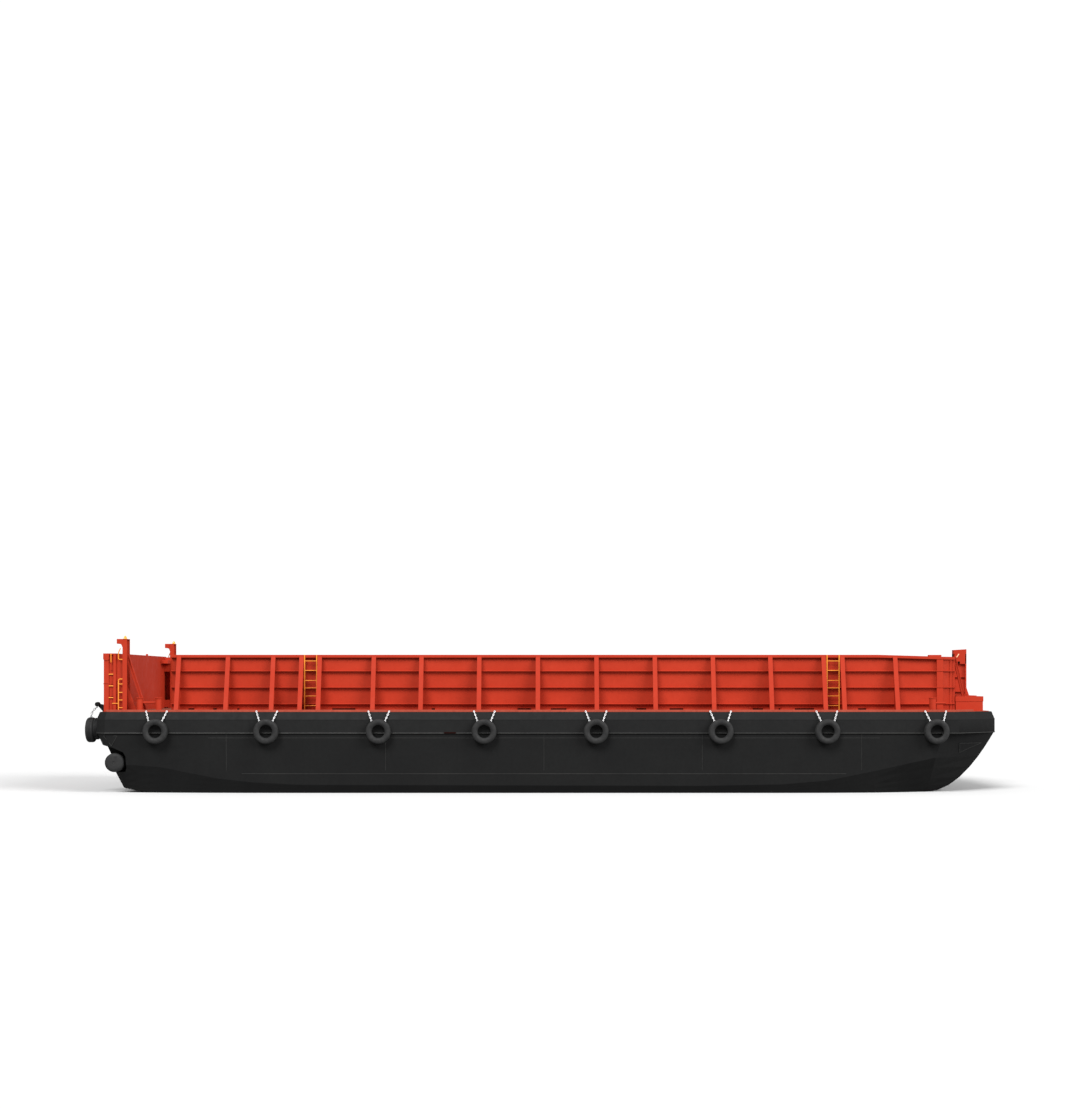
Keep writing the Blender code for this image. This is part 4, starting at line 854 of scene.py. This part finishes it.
def side_tyre(index, side, label, x):
    y = HALF_BEAM + GAP + TYRE_WIDTH / 2
    shape = Shape()
    shape.turned((x, side * y, TYRE_Z), (0, 1, 0), tyre_profile(TYRE_RADIUS, TYRE_HOLE, TYRE_WIDTH), 72, closed=True)
    node = f"tyre_{label}_{index + 1}"
    shape.finish(f"tyre_form_{label}_{index + 1}", RUBBER, "tyre_rubber", nodes=(node,), angle=50)
    shape = Shape()
    eye_y, eye_z = HALF_BEAM - EDGE_INSET + 0.02, HULL_TOP_Z + 0.045
    tyre_z = TYRE_Z + math.sqrt((TYRE_RADIUS - 0.03) ** 2 - 0.27**2)
    for end in (-1, 1):
        top = (x + end * 0.44, side * (eye_y - 0.005), eye_z)
        low = (x + end * 0.27, side * (y + 0.02), tyre_z)
        chain(shape, (top, low), 0.078, 0.115, 0.074, 0.0135)
    shape.finish(f"tyre_chain_{label}_{index + 1}", GALVANISED, "chain_steel", angle=60)


def stern_tyre(side, label):
    y = side * STERN_TYRE_Y
    shape = Shape()
    backing_x = STERN_X - GAP - 0.11
    outer_x = -BOW_X + 0.17
    shape.turned((backing_x, y, STERN_TYRE_Z + 0.05), (1, 0, 0), tyre_profile(0.46, 0.27, 0.22), 64, closed=True)
    shape.turned((outer_x, y, STERN_TYRE_Z), (1, 0, 0), tyre_profile(0.53, 0.27, 0.34), 72, closed=True)
    shape.finish("stern_tyre_form_" + label, RUBBER, "tyre_rubber", nodes=("tyre_stern_" + label,), angle=50)
    shape = Shape()
    knob_x, knob_z = -18.83, 3.70
    path = [(outer_x + 0.01, y, STERN_TYRE_Z + 0.46)]
    path += [(outer_x - 0.01, y, 3.22), (outer_x + 0.03, y, 3.38), (knob_x - 0.12, y, 3.52), (knob_x - 0.02, y, 3.58)]
    chain(shape, path, 0.105, 0.155, 0.115, 0.024)
    shape.finish("stern_chain_" + label, GALVANISED, "chain_steel", angle=60)


def roller(side, label):
    """The round fender in the stern corner: a ribbed rubber drum with a domed face and its pin."""
    shape = Shape()
    low, high = 4.36 + GAP, 5.42
    radius = 0.395
    profile = [(0, low), (radius - 0.03, low), (radius, low + 0.03)]
    for i in range(5):
        a = low + 0.12 + i * 0.16
        profile += [(radius, a), (radius - 0.012, a + 0.01), (radius - 0.012, a + 0.03), (radius, a + 0.04)]
    for i in range(9):
        turn = math.radians(90 * i / 8)
        profile.append((radius - 0.16 + 0.16 * math.cos(turn), high - 0.10 + 0.10 * math.sin(turn)))
    profile += [(0.07, high), (0.07, high - 0.02), (0, high - 0.02)]
    profile = [(r, side * a) for r, a in profile]
    shape.turned((-17.935, 0, 1.27), (0, 1, 0), profile, 56)
    shape.finish("stern_roller_form_" + label, RUBBER, "tyre_rubber", nodes=("stern_roller_" + label,), angle=45)


# Hull plating details


def plan_outline(inset):
    shift = inset * math.tan(math.radians(22.5))
    y = HALF_BEAM - inset
    half = [
        (STERN_X + inset, HALF_BEAM - STERN_CHAMFER - shift), (STERN_X + STERN_CHAMFER + shift, y),
        (BOW_X - BOW_CHAMFER - shift, y), (BOW_X - inset, HALF_BEAM - BOW_CHAMFER - shift),
    ]
    return half + [(x, -y) for x, y in reversed(half)]


def hull_skin():
    """A way to find the hull's side: skin(x, z, side) gives the place there and the direction out of it."""
    mesh = bmesh.new()
    mesh.from_mesh(NODES["hull"].data)
    mesh.transform(NODES["hull"].matrix_world)
    tree = BVHTree.FromBMesh(mesh)
    mesh.free()

    def skin(x, z, side):
        place_there, normal, _, _ = tree.ray_cast(Vector((x, side * 9.0, z)), Vector((0, -side, 0)))
        return place_there, normal

    return skin


def rubbing_bars():
    """Half-round bars along the fender band's edges, and the seams between its plates."""
    low = Shape()
    low.tube([(x, y, BAND_LOW_Z + 0.016) for x, y in plan_outline(0.002)], 0.018, 8, closed=True)
    # The low bar's lighter paint is partly wear and partly a painted highlight along its top.
    low.finish("fender_band_low_bar", EDGE_WEAR_AND_HIGHLIGHT_BLACK, "hull_black")
    shape = Shape()
    shape.tube([(x, y, BAND_HIGH_Z - 0.006) for x, y in plan_outline(0.002)], 0.010, 8, closed=True)
    for side in (1, -1):
        for x in (-15.1, -9.05, -3.0, 3.05, 9.1, 15.1):
            shape.block((x - 0.006, x + 0.006), (side * (HALF_BEAM - 0.01), side * (HALF_BEAM + 0.003)),
                        (BAND_LOW_Z + 0.04, BAND_HIGH_Z - 0.01), 0.002)
    shape.finish("fender_band_bars", BLACK, "hull_black")


def hull_seams():
    """Weld seams, small doubler plates, and a dark block in painted shade for a drain slot on the hull's sides."""
    skin = hull_skin()
    seams, plates, slots = Shape(), Shape(), Shape()
    for side in (1, -1):
        for z, radius in ((0.81, 0.010), (2.305, 0.007)):
            reach = 14.0 if z > 1.0 else 12.6
            path = [skin(-reach + 2 * reach * i / 40, z, side)[0] for i in range(41)]
            seams.tube(path, radius, 6)
        for x in (-13.24, -6.6, 0.0, 6.6, 13.24):
            path = [skin(x, 0.95 + 1.53 * i / 8, side)[0] for i in range(9)]
            seams.tube(path, 0.006, 6)
        for corners in (((-18.36, 2.39), (-18.03, 1.973), (-17.78, 2.39)), ((17.48, 2.06), (18.59, 2.06), (17.50, 1.67))):
            found = [skin(x, z, side) for x, z in corners]
            out = sum((normal for _, normal in found), Vector()).normalized()
            plates.prism([place_there + out * 0.022 for place_there, _ in found], out * -0.05, 0.006)
            for (a, _), (b, _) in zip(found, found[1:] + found[:1]):
                seams.rod(a + out * 0.018, b + out * 0.018, 0.010, 6)
        # A dark block in painted shade stands for the shadow inside the drain slot.
        slots.block((-4.16, -3.66), (side * (HALF_BEAM - 0.02), side * (HALF_BEAM + 0.021)),
                    (BAND_LOW_Z + 0.004, BAND_LOW_Z + 0.060), 0.008)
    # The seams take the lighter paint: partly wear, partly a painted highlight on their beads.
    seams.finish("hull_seams", EDGE_WEAR_AND_HIGHLIGHT_BLACK, "hull_black")
    plates.finish("hull_doublers", BLACK, "hull_black")
    slots.finish("hull_drain_slot_shade", SLOT_PAINTED_SHADE, "hull_black")


def light_tower():
    """The tower's plates: a flange fore and aft, the web between them, the head box, and its lamps."""
    shape = Shape()
    x0, x1, wide = 18.25, 18.83, 0.16
    foot_z, head_z = DECK_Z + GAP, 5.44
    shape.block((x0, x0 + 0.05), (-wide, wide), (foot_z, 5.9), 0.008)
    shape.side(((x1 - 0.06, foot_z), (18.97, foot_z), (18.97, 3.97), (x1, 4.39), (x1, 5.9), (x1 - 0.06, 5.9)),
               -wide, wide, 0.008)
    shape.block((x0 + 0.02, x1 - 0.02), (-0.05, 0.05), (foot_z, head_z + 0.05), 0.0)
    shape.side(((x0, head_z), (x1, head_z), (x1, 6.10), (x0, 6.065)), -wide, wide, 0.012)
    for z in (4.2, 4.85):
        shape.block((x0 + 0.02, x1 - 0.02), (-wide + 0.02, wide - 0.02), (z, z + 0.02), 0.004)
    shape.finish("light_tower_form", ORANGE, "orange_paint", nodes=("light_tower",))
    lamps, sockets = Shape(), Shape()
    for side in (1, -1):
        lamps.rod((18.385, side * (wide + 0.012), 5.736), (18.49, side * (wide + 0.012), 5.89), 0.024, 12)
        # Dark blocks in painted shade stand for the shadow inside small recesses in the head box.
        sockets.block((18.43, 18.54), (side * (wide - 0.02), side * (wide + 0.006)), (5.45, 5.556), 0.01)
    lamps.finish("tower_lamps", CLEAR, "lamp_amber")
    sockets.finish("tower_socket_shade", SLOT_PAINTED_SHADE, "orange_paint")


# Camera, light and floor


def look():
    scene = bpy.context.scene
    scene.view_settings.view_transform = "Standard"
    scene.view_settings.look = "None"
    near_plane = 76.0
    focal_px = near_plane / 0.04164
    data = bpy.data.cameras.new("camera")
    data.sensor_width = 36.0
    data.sensor_fit = "AUTO"
    data.lens = 36.0 * focal_px / 1108
    data.shift_x = -5 / 1108
    data.shift_y = 128.4 / 1108
    data.clip_start = 1.0
    data.clip_end = 900.0
    camera = bpy.data.objects.new("camera", data)
    camera.location = (0.045, -HALF_BEAM - near_plane, 4.62)
    camera.rotation_euler = (math.radians(90), 0, 0)
    scene.collection.objects.link(camera)
    scene.camera = camera

    world = bpy.data.worlds.new("studio")
    world.use_nodes = True
    nodes, links = world.node_tree.nodes, world.node_tree.links
    background = nodes["Background"]
    background.inputs["Color"].default_value = (1, 1, 1, 1)
    background.inputs["Strength"].default_value = 0.42
    seen = nodes.new("ShaderNodeBackground")
    seen.inputs["Color"].default_value = (1, 1, 1, 1)
    seen.inputs["Strength"].default_value = 1.05
    path = nodes.new("ShaderNodeLightPath")
    choose = nodes.new("ShaderNodeMixShader")
    links.new(path.outputs["Is Camera Ray"], choose.inputs["Fac"])
    links.new(background.outputs[0], choose.inputs[1])
    links.new(seen.outputs[0], choose.inputs[2])
    links.new(choose.outputs[0], nodes["World Output"].inputs["Surface"])
    scene.world = world

    for name, towards, strength, angle in (
        ("key", (0.35, 0.75, -0.85), 3.0, 28),
        ("fill", (-0.80, 0.55, -0.50), 2.6, 34),
    ):
        light = bpy.data.lights.new(name, "SUN")
        light.energy = strength
        light.angle = math.radians(angle)
        lamp = bpy.data.objects.new(name, light)
        lamp.rotation_euler = Vector(towards).to_track_quat("-Z", "Y").to_euler()
        scene.collection.objects.link(lamp)

    mesh = bpy.data.meshes.new("floor")
    far = 400.0
    mesh.from_pydata([(-far, -far, 0), (far, -far, 0), (far, far, 0), (-far, far, 0)], [], [(0, 1, 2, 3)])
    material, tree_nodes, tree_links, shader = tree_of("floor")
    level = place(tree_nodes, tree_links)
    shade = ramp(tree_nodes, tree_links, noise(tree_nodes, tree_links, level, 0.05, 2), ((0.3, 0.70), (0.7, 0.71)))
    tree_links.new(shade, shader.inputs["Base Color"])
    shader.inputs["Roughness"].default_value = 0.8
    shader.inputs["Specular IOR Level"].default_value = 0.0
    dim = tree_nodes.new("ShaderNodeBsdfDiffuse")
    dim.inputs["Color"].default_value = (0.34, 0.34, 0.34, 1)
    seen_first = tree_nodes.new("ShaderNodeLightPath")
    either = tree_nodes.new("ShaderNodeMixShader")
    tree_links.new(seen_first.outputs["Is Camera Ray"], either.inputs["Fac"])
    tree_links.new(dim.outputs[0], either.inputs[1])
    tree_links.new(shader.outputs[0], either.inputs[2])
    tree_links.new(either.outputs[0], tree_nodes["Material Output"].inputs["Surface"])
    mesh.materials.append(material)
    floor = bpy.data.objects.new("floor", mesh)
    floor.location.z = -0.002
    scene.collection.objects.link(floor)


def main():
    look()
    for label, side in SIDES:
        sheet = wall_sheet(side, "bin_sheet_" + label)
        wall_frames(side, "bin_frames_" + label)
        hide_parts("bin_wall_" + label)
        scupper_shade_blocks(side, label)
        bin_corner(side, label)
        for place_name, x in zip(("aft", "fore"), LADDER_X):
            ladder(f"ladder_{label}_{place_name}", side, x)
        hook_post(side, label)
        stern_ladder(side, label)
        bollards(side, label)
        for index, x in enumerate(TYRE_X):
            side_tyre(index, side, label, x)
        stern_tyre(side, label)
        roller(side, label)
    bin_bow_wall()
    stern_wall()
    rubbing_bars()
    hull_seams()
    light_tower()
    kept = {
        "hull": (BLACK, 0.012), "deck": (DECK_ORANGE, 0.004), "cargo_floor": (FLOOR_STEEL, 0.0),
    }
    for label, _ in SIDES:
        kept["strut_" + label] = (ORANGE, 0.005)
        kept["bow_brace_" + label] = (ORANGE, 0.004)
        kept["locker_lid_" + label] = (ORANGE, 0.005)
        kept["bow_locker_" + label] = (ORANGE, 0.005)
        kept["fairlead_" + label] = (BLACK, 0.006)
    for name, (material, rounding) in kept.items():
        paint_node(name, material, rounding)


main()
